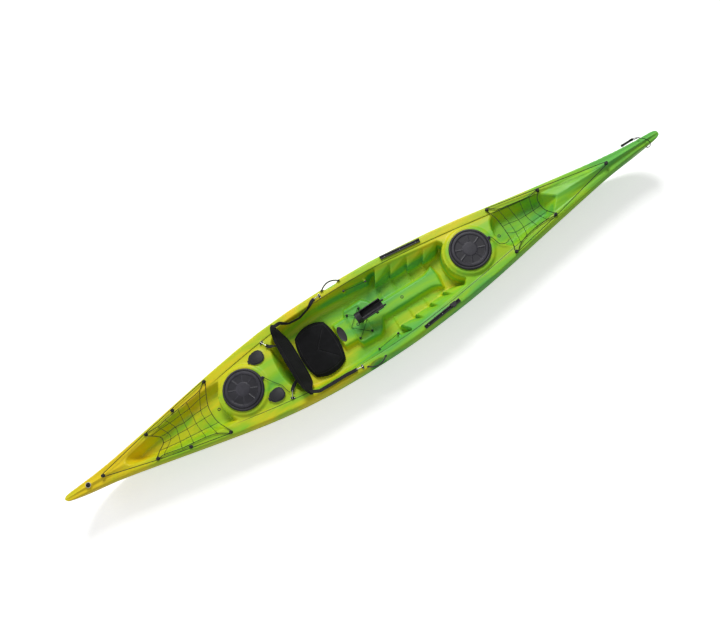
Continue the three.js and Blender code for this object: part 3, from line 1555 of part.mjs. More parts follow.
add("hull", hull(), lime, 0.42);
for (const [i, name] of ["front", "rear"].entries()) {
  add(`${name}_hatch_frame`, onHatch(hatchFrame(), i), black, 0.55);
  add(`${name}_hatch_lid`, onHatch(hatchLid(), i), lidGrey, 0.5);
}
add("front_lid_tether", tether(0, [[1050, -70, 300], [1076, -92, 303], [1105, -96, 306], [1123, -84, 312]]), black, 0.8);
add("rear_lid_tether", tether(1, [[-776, -66, 293], [-741, -110, 291], [-728, -150, 290], [-714, -186, 291]]), black, 0.8);
for (const [name, place] of Object.entries(buttonPlaces)) {
  const solid = deckButton().translate([...place, buttonTop(place) + clearance]);
  add(`deck_button_${name}`, solid, black, 0.45);
}
add("bow_bungee", bowBungee(), black, 0.85);
add("stern_bungee", sternBungee(), black, 0.85);
add("bow_net", bowNet(), black, 0.85);
add("stern_net", sternNet(), black, 0.85);
for (const [name, side] of Object.entries(sides)) {
  add(`rod_tube_${name}`, rodTube(side), black, 0.5);
  add(`rod_cap_${name}`, rodCap(side), lidGrey, 0.6);
  add(`gear_track_${name}`, gearTrack(side), black, 0.4);
  add(`side_handle_${name}`, sideHandle(side), black, 0.7);
  add(`paddle_keeper_${name}`, paddleKeeper(side), black, 0.8);
  for (const which of ["front", "rear"]) {
    add(`pad_eye_${which}_${name}`, atEye(padEye(), which, side), black, 0.45);
    add(`snap_hook_${which}_${name}`, atEye(snapHook(), which, side), steel, 0.3, 0.9);
  }
  add(`strap_front_${name}`, frontStrap(side), black, 0.9);
  add(`strap_rear_${name}`, rearStrap(side), black, 0.9);
}
add("seat_pad", seatPad(), black, 0.85);
add("backrest", backrest(), black, 0.85);
add("track_mount", trackCar(), black, 0.5);
add("track_knob", trackKnob(), black, 0.5);
add("rod_holder_base", rodFoot(), black, 0.5);
add("rod_holder_swivel", rodSwivel(), black, 0.5);
add("rod_holder_cradle", cradle(), black, 0.5);
for (const [ex, fore] of [[1, "fore"], [-1, "aft"]])
  for (const [name, side] of Object.entries(sides)) add(`tray_hook_${fore}_${name}`, trayHook(ex, side), black, 0.5);
add("tray_bungee", trayBungee(), black, 0.85);
add("bow_loop", tube(bowLoopRoute, cord / 2, 5, true), black, 0.85);
add("bow_toggle", bowToggle(), black, 0.6);
add("drain_plug", drainPlug(), black, 0.5);

export default parts;
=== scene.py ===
# %% [markdown]
# # A sit-on-top sea kayak
# This lesson dresses a kayak whose solids were made in CAD. The solids come in as a fixed frame:
# each has its place and its name. Every piece made here stands on, or in place of, one of them.

# %% Load the frame
import math

import bmesh
import bpy
import numpy as np
from mathutils import Matrix, Vector


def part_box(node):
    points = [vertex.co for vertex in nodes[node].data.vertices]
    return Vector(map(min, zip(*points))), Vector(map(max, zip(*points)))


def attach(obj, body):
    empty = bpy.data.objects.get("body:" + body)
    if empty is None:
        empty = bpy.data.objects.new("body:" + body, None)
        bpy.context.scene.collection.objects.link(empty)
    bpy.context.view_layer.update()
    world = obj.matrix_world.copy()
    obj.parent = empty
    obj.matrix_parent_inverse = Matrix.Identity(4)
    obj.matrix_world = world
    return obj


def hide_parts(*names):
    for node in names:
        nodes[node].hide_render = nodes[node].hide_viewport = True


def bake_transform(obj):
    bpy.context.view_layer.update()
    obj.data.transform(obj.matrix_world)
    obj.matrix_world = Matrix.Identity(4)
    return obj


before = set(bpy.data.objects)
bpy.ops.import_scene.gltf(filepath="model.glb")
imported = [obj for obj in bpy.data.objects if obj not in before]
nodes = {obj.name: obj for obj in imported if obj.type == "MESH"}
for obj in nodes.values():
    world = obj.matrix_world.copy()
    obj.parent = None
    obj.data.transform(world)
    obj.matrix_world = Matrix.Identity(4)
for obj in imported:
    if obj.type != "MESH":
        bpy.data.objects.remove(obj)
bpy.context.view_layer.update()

print("solids in the frame:", len(nodes))

# %% [markdown]
# ## The camera
# The photograph looks down at the kayak from near its middle, with the bow to the upper right. The
# camera's place comes from matching nineteen deck fittings in the photograph to their solids. It is
# written as a place, the point on the deck that it looks at, and the direction that is up in the picture.

# %% Camera
camera_at = Vector((-0.13088, -1.23862, 4.97457))
looks_at = Vector((-0.02781, 0.03017, 0.25))
picture_up = Vector((0.52657, 0.8181, 0.23119))

back = (camera_at - looks_at).normalized()
right = picture_up.cross(back).normalized()
up = back.cross(right)
lens = bpy.data.cameras.new("camera")
lens.lens = 35.0
lens.sensor_width = 36.0
lens.clip_end = 60.0
camera = bpy.data.objects.new("camera", lens)
camera.matrix_world = Matrix.Translation(camera_at) @ Matrix((right, up, back)).transposed().to_4x4()
bpy.context.scene.collection.objects.link(camera)
bpy.context.scene.camera = camera
print("camera to deck:", round((camera_at - looks_at).length, 2), "m")

# %% [markdown]
# ## Tools for surfaces
# A piece is a grid of points: rows along it and columns across it. One tool joins the grid into
# faces, one turns grids into objects, and the others make the grids of tubes, turned parts and bands.

# %% Grids into objects
MM = 0.001


def grid_faces(rows, columns, wrap_rows=False, wrap_columns=False):
    """Four-sided faces between neighbouring points of a grid, as an array of point numbers."""
    i = np.arange(rows if wrap_rows else rows - 1)[:, None]
    j = np.arange(columns if wrap_columns else columns - 1)[None, :]
    i2, j2 = (i + 1) % rows, (j + 1) % columns
    quads = np.stack([i * columns + j, i2 * columns + j, i2 * columns + j2, i * columns + j2], -1)
    return quads.reshape(-1, 4)


def mesh_object(name, points, faces, uv=None, sharp=None):
    """A smooth mesh object with no parent, from points in millimetres and lists of point numbers."""
    mesh = bpy.data.meshes.new(name)
    mesh.from_pydata((np.asarray(points, float).reshape(-1, 3) * MM).tolist(), [], faces)
    mesh.update()
    mesh.shade_smooth()
    if sharp is not None:
        mesh.set_sharp_from_angle(angle=math.radians(sharp))
    if uv is not None:
        layer = mesh.uv_layers.new(name="along")
        corner = np.empty(len(mesh.loops), np.int32)
        mesh.loops.foreach_get("vertex_index", corner)
        layer.data.foreach_set("uv", np.asarray(uv, np.float32)[corner].ravel())
    made = bpy.data.objects.new(name, mesh)
    bpy.context.scene.collection.objects.link(made)
    return made


def piece(name, points, faces, finish, body="kayak", stands_for=(), slot=None, sharp=40, uv=None):
    """A mesh object with its finish, its body and the solids that it stands for."""
    return dress(mesh_object(name, points, faces, uv, sharp), finish, body, stands_for)


def dress(made, finish, body="kayak", stands_for=()):
    """Give an object its finish, the body that it rides on and the solids that it stands for."""
    made.data.materials.clear()
    made.data.materials.append(finish)
    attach(made, body)
    if stands_for:
        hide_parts(*([stands_for] if isinstance(stands_for, str) else stands_for))
    return made


def outwards(faces, points):
    """Turn every face over if the closed mesh's signed volume, summed over fans, is negative."""
    points = np.asarray(points, float)
    volume = 0.0
    for face in faces:
        p = points[list(face)]
        for k in range(1, len(face) - 1):
            volume += np.dot(p[0], np.cross(p[k], p[k + 1]))
    return faces if volume > 0 else [list(reversed(face)) for face in faces]


# %% Paths and tubes
def cubic(a, b, c, d, t):
    """The cubic from b to c whose slopes there are half the chords a to c and b to d."""
    return 0.5 * (2 * b + (c - a) * t + (2 * a - 5 * b + 4 * c - d) * t**2 + (3 * b - a - 3 * c + d) * t**3)


def rounded_path(points, step=4.0, closed=False):
    """A smooth path through points: each span is a cubic whose slope at a point is half the chord
    between its neighbours, then the whole is cut at equal lengths."""
    p = np.asarray(points, float)
    n = len(p)
    spans = n if closed else n - 1
    pick = (lambda i: p[i % n]) if closed else (lambda i: p[np.clip(i, 0, n - 1)])
    i = np.arange(spans)
    a, b, c, d = pick(i - 1), pick(i), pick(i + 1), pick(i + 2)
    t = np.linspace(0, 1, 16, endpoint=False)[None, :, None]
    a, b, c, d = (v[:, None, :] for v in (a, b, c, d))
    curve = cubic(a, b, c, d, t).reshape(-1, 3)
    curve = np.vstack([curve, p[:1] if closed else p[-1:]])
    along = np.concatenate([[0], np.cumsum(np.linalg.norm(np.diff(curve, axis=0), axis=1))])
    count = max(int(along[-1] / step), 4)
    at = np.linspace(0, along[-1], count + 1)
    even = np.stack([np.interp(at, along, curve[:, k]) for k in range(3)], -1)
    return even[:-1] if closed else even


def path_length(path, closed=False):
    """The sum of the distances between a path's points."""
    path = np.vstack([path, path[:1]]) if closed else path
    return float(np.linalg.norm(np.diff(path, axis=0), axis=1).sum())


def directions(path, closed=False):
    """Along, side and up at each point: along joins its neighbours, and side is carried from point to
    point with no twist, by taking away the part of it that lies along the path."""
    if closed:
        along = np.roll(path, -1, 0) - np.roll(path, 1, 0)
    else:
        along = np.gradient(path, axis=0)
    along /= np.linalg.norm(along, axis=1)[:, None]
    side = np.cross(along[0], [0, 0, 1] if abs(along[0][2]) < 0.9 else [1, 0, 0])
    sides = []
    for a in along:
        side = side - a * side.dot(a)
        side = side / np.linalg.norm(side)
        sides.append(side)
    sides = np.array(sides)
    return along, sides, np.cross(along, sides)


def tube_grid(path, radius, columns=10, closed=False):
    """A circle of points round each point of a path, in the plane across it."""
    _, side, above = directions(path, closed)
    if closed:
        turn = math.atan2(side[0].dot(above[-1]), side[0].dot(side[-1]))
        share = np.linspace(0, turn, len(path), endpoint=False)[:, None]
        cos, sin = np.cos(share), np.sin(share)
        side, above = side * cos + above * sin, above * cos - side * sin
    a = np.linspace(0, 2 * np.pi, columns, endpoint=False)[None, :, None]
    radius = np.broadcast_to(np.asarray(radius, float), (len(path),))[:, None, None]
    return path[:, None, :] + radius * (np.cos(a) * side[:, None, :] + np.sin(a) * above[:, None, :])


def closed_faces(rows, columns, ring=False):
    """Faces round a tube, with one many-sided face across each open end."""
    faces = grid_faces(rows, columns, wrap_rows=ring, wrap_columns=True).tolist()
    if not ring:
        faces.append(list(range(columns)))
        faces.append(list(reversed(range((rows - 1) * columns, rows * columns))))
    return faces


def tube_piece(name, path, radius, finish, closed=False, columns=10, **rest):
    """A tube along a path, with a map of how far along and how far round each point is."""
    grid = tube_grid(path, radius, columns, closed)
    rows = len(path)
    faces = outwards(closed_faces(rows, columns, closed), grid.reshape(-1, 3))
    along = np.concatenate([[0], np.cumsum(np.linalg.norm(np.diff(path, axis=0), axis=1))]) * MM
    uv = np.stack(np.broadcast_arrays(along[:, None], np.abs(np.linspace(-1, 1, columns))[None, :]), -1)
    return piece(name, grid, faces, finish, uv=uv.reshape(-1, 2), **rest)


def joined(grids):
    """Several closed tubes' grids as one list of points and one of faces."""
    points, faces, start = [], [], 0
    for grid, ring in grids:
        rows, columns = grid.shape[:2]
        own = outwards(closed_faces(rows, columns, ring), grid.reshape(-1, 3))
        faces += [[start + k for k in face] for face in own]
        points.append(grid.reshape(-1, 3))
        start += rows * columns
    return np.vstack(points), faces


# %% Turned parts
def eased(profile, radius=1.0, steps=3):
    """A profile whose corners are swept by a curve that leaves each edge by up to the radius."""
    p = np.asarray(profile, float)
    made = [p[0]]
    for before, corner, after in zip(p, p[1:], p[2:]):
        ends = []
        for other in (before, after):
            long = np.linalg.norm(other - corner)
            ends.append(corner + (other - corner) * min(radius / max(long, 1e-9), 0.45))
        for t in np.linspace(0, 1, steps + 1):
            made.append(ends[0] * (1 - t) ** 2 + corner * 2 * t * (1 - t) + ends[1] * t**2)
    made.append(p[-1])
    return np.array(made)


def turned_grid(profile, sides):
    """A profile of [radius, height] carried round the upright axis."""
    profile = np.asarray(profile, float)
    a = np.linspace(0, 2 * np.pi, sides, endpoint=False)
    r, z = profile[:, 0][:, None], profile[:, 1][:, None]
    return np.stack(np.broadcast_arrays(r * np.cos(a), r * np.sin(a), z), -1)


def turned_mesh(profile, sides=48, radius=1.0):
    """Points and faces of a turned part; a profile that starts and ends on the axis closes there."""
    p = np.asarray(profile, float)
    on_axis = p[0][0] == 0 and p[-1][0] == 0
    p = eased(p, radius)
    if on_axis:
        p = p[1:-1] if len(p) > 4 else p
    grid = turned_grid(p, sides)
    if on_axis:
        return grid.reshape(-1, 3), outwards(closed_faces(len(p), sides), grid.reshape(-1, 3))
    faces = grid_faces(len(p), sides, wrap_rows=True, wrap_columns=True).tolist()
    return grid.reshape(-1, 3), outwards(faces, grid.reshape(-1, 3))


def turned_piece(name, profile, at, finish, sides=48, radius=1.0, **rest):
    """A turned part moved to its place."""
    points, faces = turned_mesh(profile, sides, radius)
    return piece(name, points + np.asarray(at, float), faces, finish, **rest)


# %% Softened copies of solids
MERGE_WITHIN = 2e-5
FLAT_BELOW, ROUND_ABOVE, SHARP_ABOVE = (math.radians(angle) for angle in (2, 30, 60))


def softened(node, finish, bevel=0.8, body="kayak"):
    """A copy of a solid with its triangles joined into flat faces and its edges rounded."""
    mesh = nodes[node].data.copy()
    work = bmesh.new()
    work.from_mesh(mesh)
    bmesh.ops.remove_doubles(work, verts=work.verts, dist=MERGE_WITHIN)
    bmesh.ops.dissolve_limit(
        work, angle_limit=FLAT_BELOW, use_dissolve_boundaries=False, verts=work.verts, edges=work.edges
    )
    work.to_mesh(mesh)
    work.free()
    made = bpy.data.objects.new(node + "_soft", mesh)
    bpy.context.scene.collection.objects.link(made)
    rounding = made.modifiers.new("rounding", "BEVEL")
    rounding.width = bevel * MM
    rounding.segments = 2
    rounding.limit_method = "ANGLE"
    rounding.angle_limit = ROUND_ABOVE
    rounding.harden_normals = True
    mesh.shade_smooth()
    mesh.set_sharp_from_angle(angle=SHARP_ABOVE)
    return dress(made, finish, body, node)


def low(node):
    """A solid's lowest corner in millimetres."""
    return np.array(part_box(node)[0]) / MM


def high(node):
    """A solid's highest corner in millimetres."""
    return np.array(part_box(node)[1]) / MM


# %% [markdown]
# ## Finishes
# Real plastic, cloth and rubber vary at more than one scale. Effects that several finishes share are
# node groups with named inputs: a fine moulded grain, a woven cloth and a braided cord.


# %% Node helpers
def new_material(name, roughness=0.5, metallic=0.0, colour=(0.5, 0.5, 0.5)):
    """A material whose uniform numbers sit on the shader's own sockets."""
    made = bpy.data.materials.new(name)
    made.use_nodes = True
    shader = made.node_tree.nodes["Principled BSDF"]
    shader.inputs["Roughness"].default_value = roughness
    shader.inputs["Metallic"].default_value = metallic
    shader.inputs["Base Color"].default_value = (*colour, 1)
    return made, made.node_tree, shader


def new_group(name, inputs, outputs):
    """A shader node group with float inputs and named outputs."""
    tree = bpy.data.node_groups.new(name, "ShaderNodeTree")
    for label, kind, value in inputs:
        socket = tree.interface.new_socket(label, in_out="INPUT", socket_type=kind)
        if value is not None:
            socket.default_value = value
    for label, kind in outputs:
        tree.interface.new_socket(label, in_out="OUTPUT", socket_type=kind)
    return tree, tree.nodes.new("NodeGroupInput"), tree.nodes.new("NodeGroupOutput")


def math_node(tree, operation, a, b=None):
    """A maths node whose inputs are numbers or sockets."""
    made = tree.nodes.new("ShaderNodeMath")
    made.operation = operation
    for slot_number, value in enumerate((a, b)):
        if value is None:
            continue
        if isinstance(value, (int, float)):
            made.inputs[slot_number].default_value = value
        else:
            tree.links.new(value, made.inputs[slot_number])
    return made.outputs[0]


def times(tree, a, b):
    return math_node(tree, "MULTIPLY", a, b)


def plus(tree, a, b):
    return math_node(tree, "ADD", a, b)


def axes(tree, vector):
    """The x, y and z of a vector."""
    made = tree.nodes.new("ShaderNodeSeparateXYZ")
    tree.links.new(vector, made.inputs[0])
    return made.outputs


def mix_colour(tree, factor, a, b):
    """A mix of two colours, each a socket or a colour."""
    made = tree.nodes.new("ShaderNodeMix")
    made.data_type = "RGBA"
    for socket, value in ((made.inputs[0], factor), (made.inputs[6], a), (made.inputs[7], b)):
        if isinstance(value, bpy.types.NodeSocket):
            tree.links.new(value, socket)
        else:
            socket.default_value = (*value, 1) if isinstance(value, tuple) and len(value) == 3 else value
    return made.outputs[2]


def ramp(tree, value, stops):
    """A colour ramp through stops of place and colour."""
    made = tree.nodes.new("ShaderNodeValToRGB")
    elements = made.color_ramp.elements
    while len(elements) < len(stops):
        elements.new(0.5)
    for element, (place, colour) in zip(elements, stops):
        element.position = place
        element.color = (*colour, 1)
    tree.links.new(value, made.inputs[0])
    return made.outputs[0]


def noise(tree, vector, scale, detail=3.0, roughness=0.5, distortion=0.0):
    """A noise texture on a vector."""
    made = tree.nodes.new("ShaderNodeTexNoise")
    tree.links.new(vector, made.inputs["Vector"])
    made.inputs["Scale"].default_value = scale
    made.inputs["Detail"].default_value = detail
    made.inputs["Roughness"].default_value = roughness
    made.inputs["Distortion"].default_value = distortion
    return made.outputs["Fac"]


def scaled(tree, vector, scale, location=(0, 0, 0)):
    """A vector stretched by a Mapping node."""
    made = tree.nodes.new("ShaderNodeMapping")
    made.inputs["Scale"].default_value = scale
    made.inputs["Location"].default_value = location
    tree.links.new(vector, made.inputs["Vector"])
    return made.outputs[0]


def in_range(tree, value, low_in, high_in, low_out=0.0, high_out=1.0):
    """A value moved from one range to another, smoothly and clamped."""
    made = tree.nodes.new("ShaderNodeMapRange")
    made.interpolation_type = "SMOOTHSTEP"
    tree.links.new(value, made.inputs["Value"])
    limits = {"From Min": low_in, "From Max": high_in, "To Min": low_out, "To Max": high_out}
    for key, number in limits.items():
        made.inputs[key].default_value = number
    return made.outputs[0]


# %% Shared effects
def grain_group():
    """Height is fine noise plus a coarser one; Mask is a broad noise, for patchy gloss."""
    tree, start, end = new_group(
        "moulded grain", [("Vector", "NodeSocketVector", None), ("Scale", "NodeSocketFloat", 900.0)],
        [("Height", "NodeSocketFloat"), ("Mask", "NodeSocketFloat")],
    )
    fine = noise(tree, start.outputs["Vector"], 1.0, 2.0)
    tree.links.new(start.outputs["Scale"], fine.node.inputs["Scale"])
    broad = noise(tree, start.outputs["Vector"], 7.0, 4.0, 0.6)
    tree.links.new(fine, end.inputs["Height"])
    tree.links.new(broad, end.inputs["Mask"])
    return tree


def weave_group():
    """Height of a plain weave: two sets of waves at right angles, the higher one on top."""
    tree, start, end = new_group(
        "weave", [("Vector", "NodeSocketVector", None), ("Threads", "NodeSocketFloat", 900.0)],
        [("Height", "NodeSocketFloat")],
    )
    x, y, _ = axes(tree, start.outputs["Vector"])
    waves = [math_node(tree, "SINE", times(tree, axis, start.outputs["Threads"])) for axis in (x, y)]
    product = times(tree, *waves)
    ribs = math_node(tree, "MAXIMUM", *(math_node(tree, "ABSOLUTE", wave) for wave in waves))
    tree.links.new(plus(tree, times(tree, product, 0.4), ribs), end.inputs["Height"])
    return tree


def braid_group():
    """Height and Fleck of a braided cord: diagonal waves of its own map of along and round."""
    tree, start, end = new_group(
        "braid", [("Vector", "NodeSocketVector", None), ("Turns", "NodeSocketFloat", 900.0)],
        [("Height", "NodeSocketFloat"), ("Fleck", "NodeSocketFloat")],
    )
    x, y, _ = axes(tree, start.outputs["Vector"])
    along = times(tree, x, start.outputs["Turns"])
    round_it = times(tree, y, 6 * math.pi)
    left = math_node(tree, "SINE", plus(tree, along, round_it))
    other = math_node(tree, "SINE", math_node(tree, "SUBTRACT", along, round_it))
    height = math_node(tree, "MAXIMUM", left, other)
    tree.links.new(height, end.inputs["Height"])
    tree.links.new(math_node(tree, "GREATER_THAN", times(tree, left, other), 0.75), end.inputs["Fleck"])
    return tree


GRAIN = grain_group()
WEAVE = weave_group()
BRAID = braid_group()


def place_group(tree, group, vector, **values):
    """A group placed in a material, with its vector linked and its numbers set."""
    made = tree.nodes.new("ShaderNodeGroup")
    made.node_tree = group
    tree.links.new(vector, made.inputs["Vector"])
    for key, value in values.items():
        made.inputs[key].default_value = value
    return made


def bump(tree, shader, height, distance, strength=1.0):
    """A Bump node that turns a height into the shader's normal."""
    made = tree.nodes.new("ShaderNodeBump")
    made.inputs["Strength"].default_value = strength
    made.inputs["Distance"].default_value = distance
    tree.links.new(height, made.inputs["Height"])
    tree.links.new(made.outputs[0], shader.inputs["Normal"])


def paint(tree, shader, colour):
    tree.links.new(colour, shader.inputs["Base Color"])


def patchy_gloss(tree, shader, mask, least, most):
    """Roughness that drifts between two values with a noise."""
    tree.links.new(in_range(tree, mask, 0.3, 0.7, least, most), shader.inputs["Roughness"])


def object_vector(tree):
    return tree.nodes.new("ShaderNodeTexCoord").outputs["Object"]


def map_vector(tree):
    made = tree.nodes.new("ShaderNodeUVMap")
    made.uv_map = "along"
    return made.outputs[0]


# %% [markdown]
# ## The hull's plastic
# Such hulls are moulded from powders of two or three colours that don't quite mix. Here yellow, lime
# and green lie in long streaks. Noise that is stretched along the hull, and bent by a second noise,
# gives the streaks. A term in x makes the stern yellower and the bow greener.


# %% Marbled plastic
def marbled():
    """The fields below add to the noise, each a product of ramps in x, y or z in metres: the stern
    yellower, the bow greener, the floor and the starboard deck greener and the port deck yellower.
    A groove follows the hull's own measure of how far a point is from the gunwale's band: a bump gives its shape, and
    its darker colour is painted shade."""
    made, tree, shader = new_material("marbled_plastic", 0.36)
    where = object_vector(tree)
    bend = tree.nodes.new("ShaderNodeTexNoise")
    bend.inputs["Scale"].default_value = 2.2
    tree.links.new(where, bend.inputs["Vector"])
    shifted = tree.nodes.new("ShaderNodeVectorMath")
    shifted.operation = "MULTIPLY_ADD"
    tree.links.new(bend.outputs["Color"], shifted.inputs[0])
    shifted.inputs[1].default_value = (0.5, 0.12, 0.12)
    tree.links.new(where, shifted.inputs[2])
    streak = noise(tree, scaled(tree, shifted.outputs[0], (1.6, 6.5, 6.5)), 1.0, 4.0, 0.55, 0.6)
    broad = noise(tree, scaled(tree, where, (0.9, 2.4, 2.4), (3.1, 0.4, 0)), 1.0, 2.0)
    mixed = plus(tree, times(tree, streak, 0.85), times(tree, broad, 0.55))
    x, y, z = axes(tree, where)
    fields = [
        [in_range(tree, x, -2.4, 0.3, -0.34, -0.16)],
        [in_range(tree, x, 0.3, 1.6, 0.0, 0.14)],
        [in_range(tree, z, 0.15, 0.172, 0.0, 0.16), in_range(tree, z, 0.23, 0.19),
         in_range(tree, x, -0.3, -0.2)],
        [in_range(tree, y, -0.12, -0.24, 0.0, 0.15), in_range(tree, x, -0.3, 0.1),
         in_range(tree, z, 0.2, 0.24)],
        [in_range(tree, y, 0.14, 0.26, 0.0, -0.06), in_range(tree, z, 0.2, 0.24)],
    ]
    for first, *others in fields:
        for other in others:
            first = times(tree, first, other)
        mixed = plus(tree, mixed, first)
    colour = ramp(tree, mixed, [
        (0.28, (0.74, 0.56, 0.004)), (0.40, (0.62, 0.60, 0.006)), (0.52, (0.40, 0.57, 0.010)),
        (0.64, (0.23, 0.55, 0.018)), (0.78, (0.11, 0.44, 0.06)),
    ])
    flecks = in_range(tree, noise(tree, where, 260.0, 2.0), 0.66, 0.8, 0.0, 0.35)
    colour = mix_colour(tree, flecks, colour, (0.08, 0.26, 0.02))
    band = tree.nodes.new("ShaderNodeAttribute")
    band.attribute_name = "from_band"
    groove = in_range(tree, math_node(tree, "ABSOLUTE", plus(tree, band.outputs["Fac"], 2.0)), 3.6, 1.6)
    for axis, off, on in ((z, 0.264, 0.27), (x, -1.2, -1.0), (x, 1.55, 1.4)):
        groove = times(tree, groove, in_range(tree, axis, off, on))
    # The groove is darkened here as painted shade, the shade that a moulded crease would hold.
    colour = mix_colour(tree, times(tree, groove, 0.7), colour, (0.03, 0.06, 0.004))
    paint(tree, shader, colour)
    grain = place_group(tree, GRAIN, where, Scale=420.0)
    rough = times(tree, grain.outputs["Height"], 0.06)
    bump(tree, shader, math_node(tree, "SUBTRACT", rough, groove), 0.0035)
    patchy_gloss(tree, shader, grain.outputs["Mask"], 0.4, 0.56)
    shader.inputs["Specular IOR Level"].default_value = 0.35
    return made


# %% Black plastic, rubber, cord, cloth and steel
def plain_plastic(name, colour, worn, roughness=0.42, scale=700.0, depth=0.00025):
    """Moulded plastic: its colour drifts toward a worn one in patches, and its gloss with it."""
    made, tree, shader = new_material(name, roughness)
    where = object_vector(tree)
    grain = place_group(tree, GRAIN, where, Scale=scale)
    patches = in_range(tree, grain.outputs["Mask"], 0.42, 0.7)
    paint(tree, shader, mix_colour(tree, patches, colour, worn))
    patchy_gloss(tree, shader, grain.outputs["Mask"], roughness - 0.08, roughness + 0.12)
    bump(tree, shader, grain.outputs["Height"], depth)
    return made


def cord_finish(name, colour, fleck, turns=1500.0):
    """Braided sheath: the braid's height as bump, and its crossings a shade lighter."""
    made, tree, shader = new_material(name, 0.8)
    braid = place_group(tree, BRAID, map_vector(tree), Turns=turns)
    paint(tree, shader, mix_colour(tree, braid.outputs["Fleck"], colour, fleck))
    bump(tree, shader, braid.outputs["Height"], 0.0004)
    return made


def cloth_finish(name, colour, lighter, threads=2600.0, sheen=0.12):
    """Woven cover: weave as bump, and a broad drift in its shade."""
    made, tree, shader = new_material(name, 0.86)
    shader.inputs["Specular IOR Level"].default_value = 0.22
    shader.inputs["Sheen Weight"].default_value = sheen
    shader.inputs["Sheen Roughness"].default_value = 0.5
    where = object_vector(tree)
    weave = place_group(tree, WEAVE, where, Threads=threads)
    drift = in_range(tree, noise(tree, where, 9.0, 4.0, 0.6), 0.35, 0.7)
    paint(tree, shader, mix_colour(tree, drift, colour, lighter))
    bump(tree, shader, weave.outputs["Height"], 0.0003)
    return made


def webbing_finish():
    """Strap webbing: cross ribs of its own map, and small lines along its edges, as bump and as painted shade."""
    made, tree, shader = new_material("webbing", 0.78)
    along, over, _ = axes(tree, map_vector(tree))
    ribs = math_node(tree, "SINE", times(tree, along, 3600.0))
    lines = math_node(tree, "SINE", times(tree, over, 60.0))
    height = plus(tree, ribs, times(tree, lines, 0.6))
    # The colour is painted shade and light: darker between the ribs and lighter on their tops.
    shade = in_range(tree, height, -1.2, 1.4)
    paint(tree, shader, mix_colour(tree, shade, (0.006, 0.006, 0.008), (0.022, 0.022, 0.026)))
    bump(tree, shader, height, 0.0003)
    return made


def steel_finish():
    """Bright steel: a fine noise in its gloss and as bump."""
    made, tree, shader = new_material("steel_wire", 0.28, 1.0, (0.62, 0.63, 0.65))
    where = object_vector(tree)
    scratches = noise(tree, where, 1400.0, 3.0, 0.6)
    patchy_gloss(tree, shader, scratches, 0.2, 0.42)
    bump(tree, shader, scratches, 0.00008)
    return made


def lid_finish():
    """Hatch rubber. Its own map holds the share of the radius and how near a rib is: the valleys
    between the ribs, and the groove inside the rim, get painted shade, darker than the raised parts."""
    made, tree, shader = new_material("hatch_rubber", 0.5)
    grain = place_group(tree, GRAIN, object_vector(tree), Scale=480.0)
    reach, rib, _ = axes(tree, map_vector(tree))
    valley = times(tree, in_range(tree, reach, 0.34, 0.38), in_range(tree, reach, 0.74, 0.7))
    valley = times(tree, valley, math_node(tree, "SUBTRACT", 1.0, rib))
    groove = times(tree, in_range(tree, reach, 0.84, 0.88), in_range(tree, reach, 0.93, 0.9))
    # Painted shade: the valleys between the ribs and the groove inside the rim are darkened towards near black.
    shade = plus(tree, times(tree, valley, 0.5), times(tree, groove, 0.8))
    patches = in_range(tree, grain.outputs["Mask"], 0.4, 0.7)
    shader.inputs["Specular IOR Level"].default_value = 0.35
    colour = mix_colour(tree, patches, (0.026, 0.025, 0.033), (0.046, 0.044, 0.056))
    paint(tree, shader, mix_colour(tree, shade, colour, (0.006, 0.006, 0.008)))
    patchy_gloss(tree, shader, grain.outputs["Mask"], 0.4, 0.56)
    bump(tree, shader, grain.outputs["Height"], 0.0003)
    return made


HULL = marbled()
RUBBER = lid_finish()
BLACK = plain_plastic("black_plastic", (0.007, 0.007, 0.009), (0.017, 0.017, 0.020), 0.45)
TRACK = plain_plastic("black_track", (0.007, 0.007, 0.008), (0.016, 0.016, 0.018), 0.38, 1500.0, 0.0001)
SOFT_RUBBER = plain_plastic("black_rubber", (0.009, 0.009, 0.012), (0.021, 0.021, 0.026), 0.6, 600.0, 0.0003)
PALE = plain_plastic("pale_seal", (0.56, 0.56, 0.53), (0.7, 0.7, 0.67), 0.5)
CORD = cord_finish("bungee_cord", (0.005, 0.006, 0.005), (0.026, 0.03, 0.026))
LINE = cord_finish("net_line", (0.005, 0.006, 0.005), (0.02, 0.024, 0.02), 2300.0)
COVER = cloth_finish("seat_cover", (0.0035, 0.0035, 0.0045), (0.009, 0.009, 0.011), sheen=0.03)
PIPING = cloth_finish("seat_binding", (0.016, 0.016, 0.018), (0.034, 0.034, 0.037), 4200.0, 0.05)
WEBBING = webbing_finish()
STEEL = steel_finish()
print("finishes:", len(bpy.data.materials))

# %% [markdown]
# ## Cords
# The deck cords are stretched round buttons, and the lids are tied by loose cords. Each follows the
# points that its solid follows, made smooth. A cord's length is its route's length.

# %% Where the buttons are
CORD_WIDE = 5.0
LINE_WIDE = 3.4
TETHER_WIDE = 4.0
PATH_STEP = 3.0
GAP = 0.3
BUTTON_BASE = 3.0
STEM = 4.5
STEM_REACH = STEM * 1.3 + CORD_WIDE / 2 + GAP

BUTTONS = {
    "bow": (1967, 0), "front_outer_port": (1488, 109), "front_outer_starboard": (1488, -109),
    "front_inner_port": (1118, 184), "front_inner_starboard": (1118, -184),
    "rear_inner_port": (-1197, 203), "rear_inner_starboard": (-1197, -203),
    "rear_middle_port": (-1482, 145), "rear_middle_starboard": (-1482, -145),
    "rear_outer_port": (-1717, 95), "rear_outer_starboard": (-1717, -95), "stern": (-2093, 0),
}


def cord_height(name, layer):
    """The middle of a cord at a button: its seat, its base and half a cord for each layer below."""
    return low("deck_button_" + name)[2] + BUTTON_BASE + (layer + 0.5) * (CORD_WIDE + GAP) + GAP


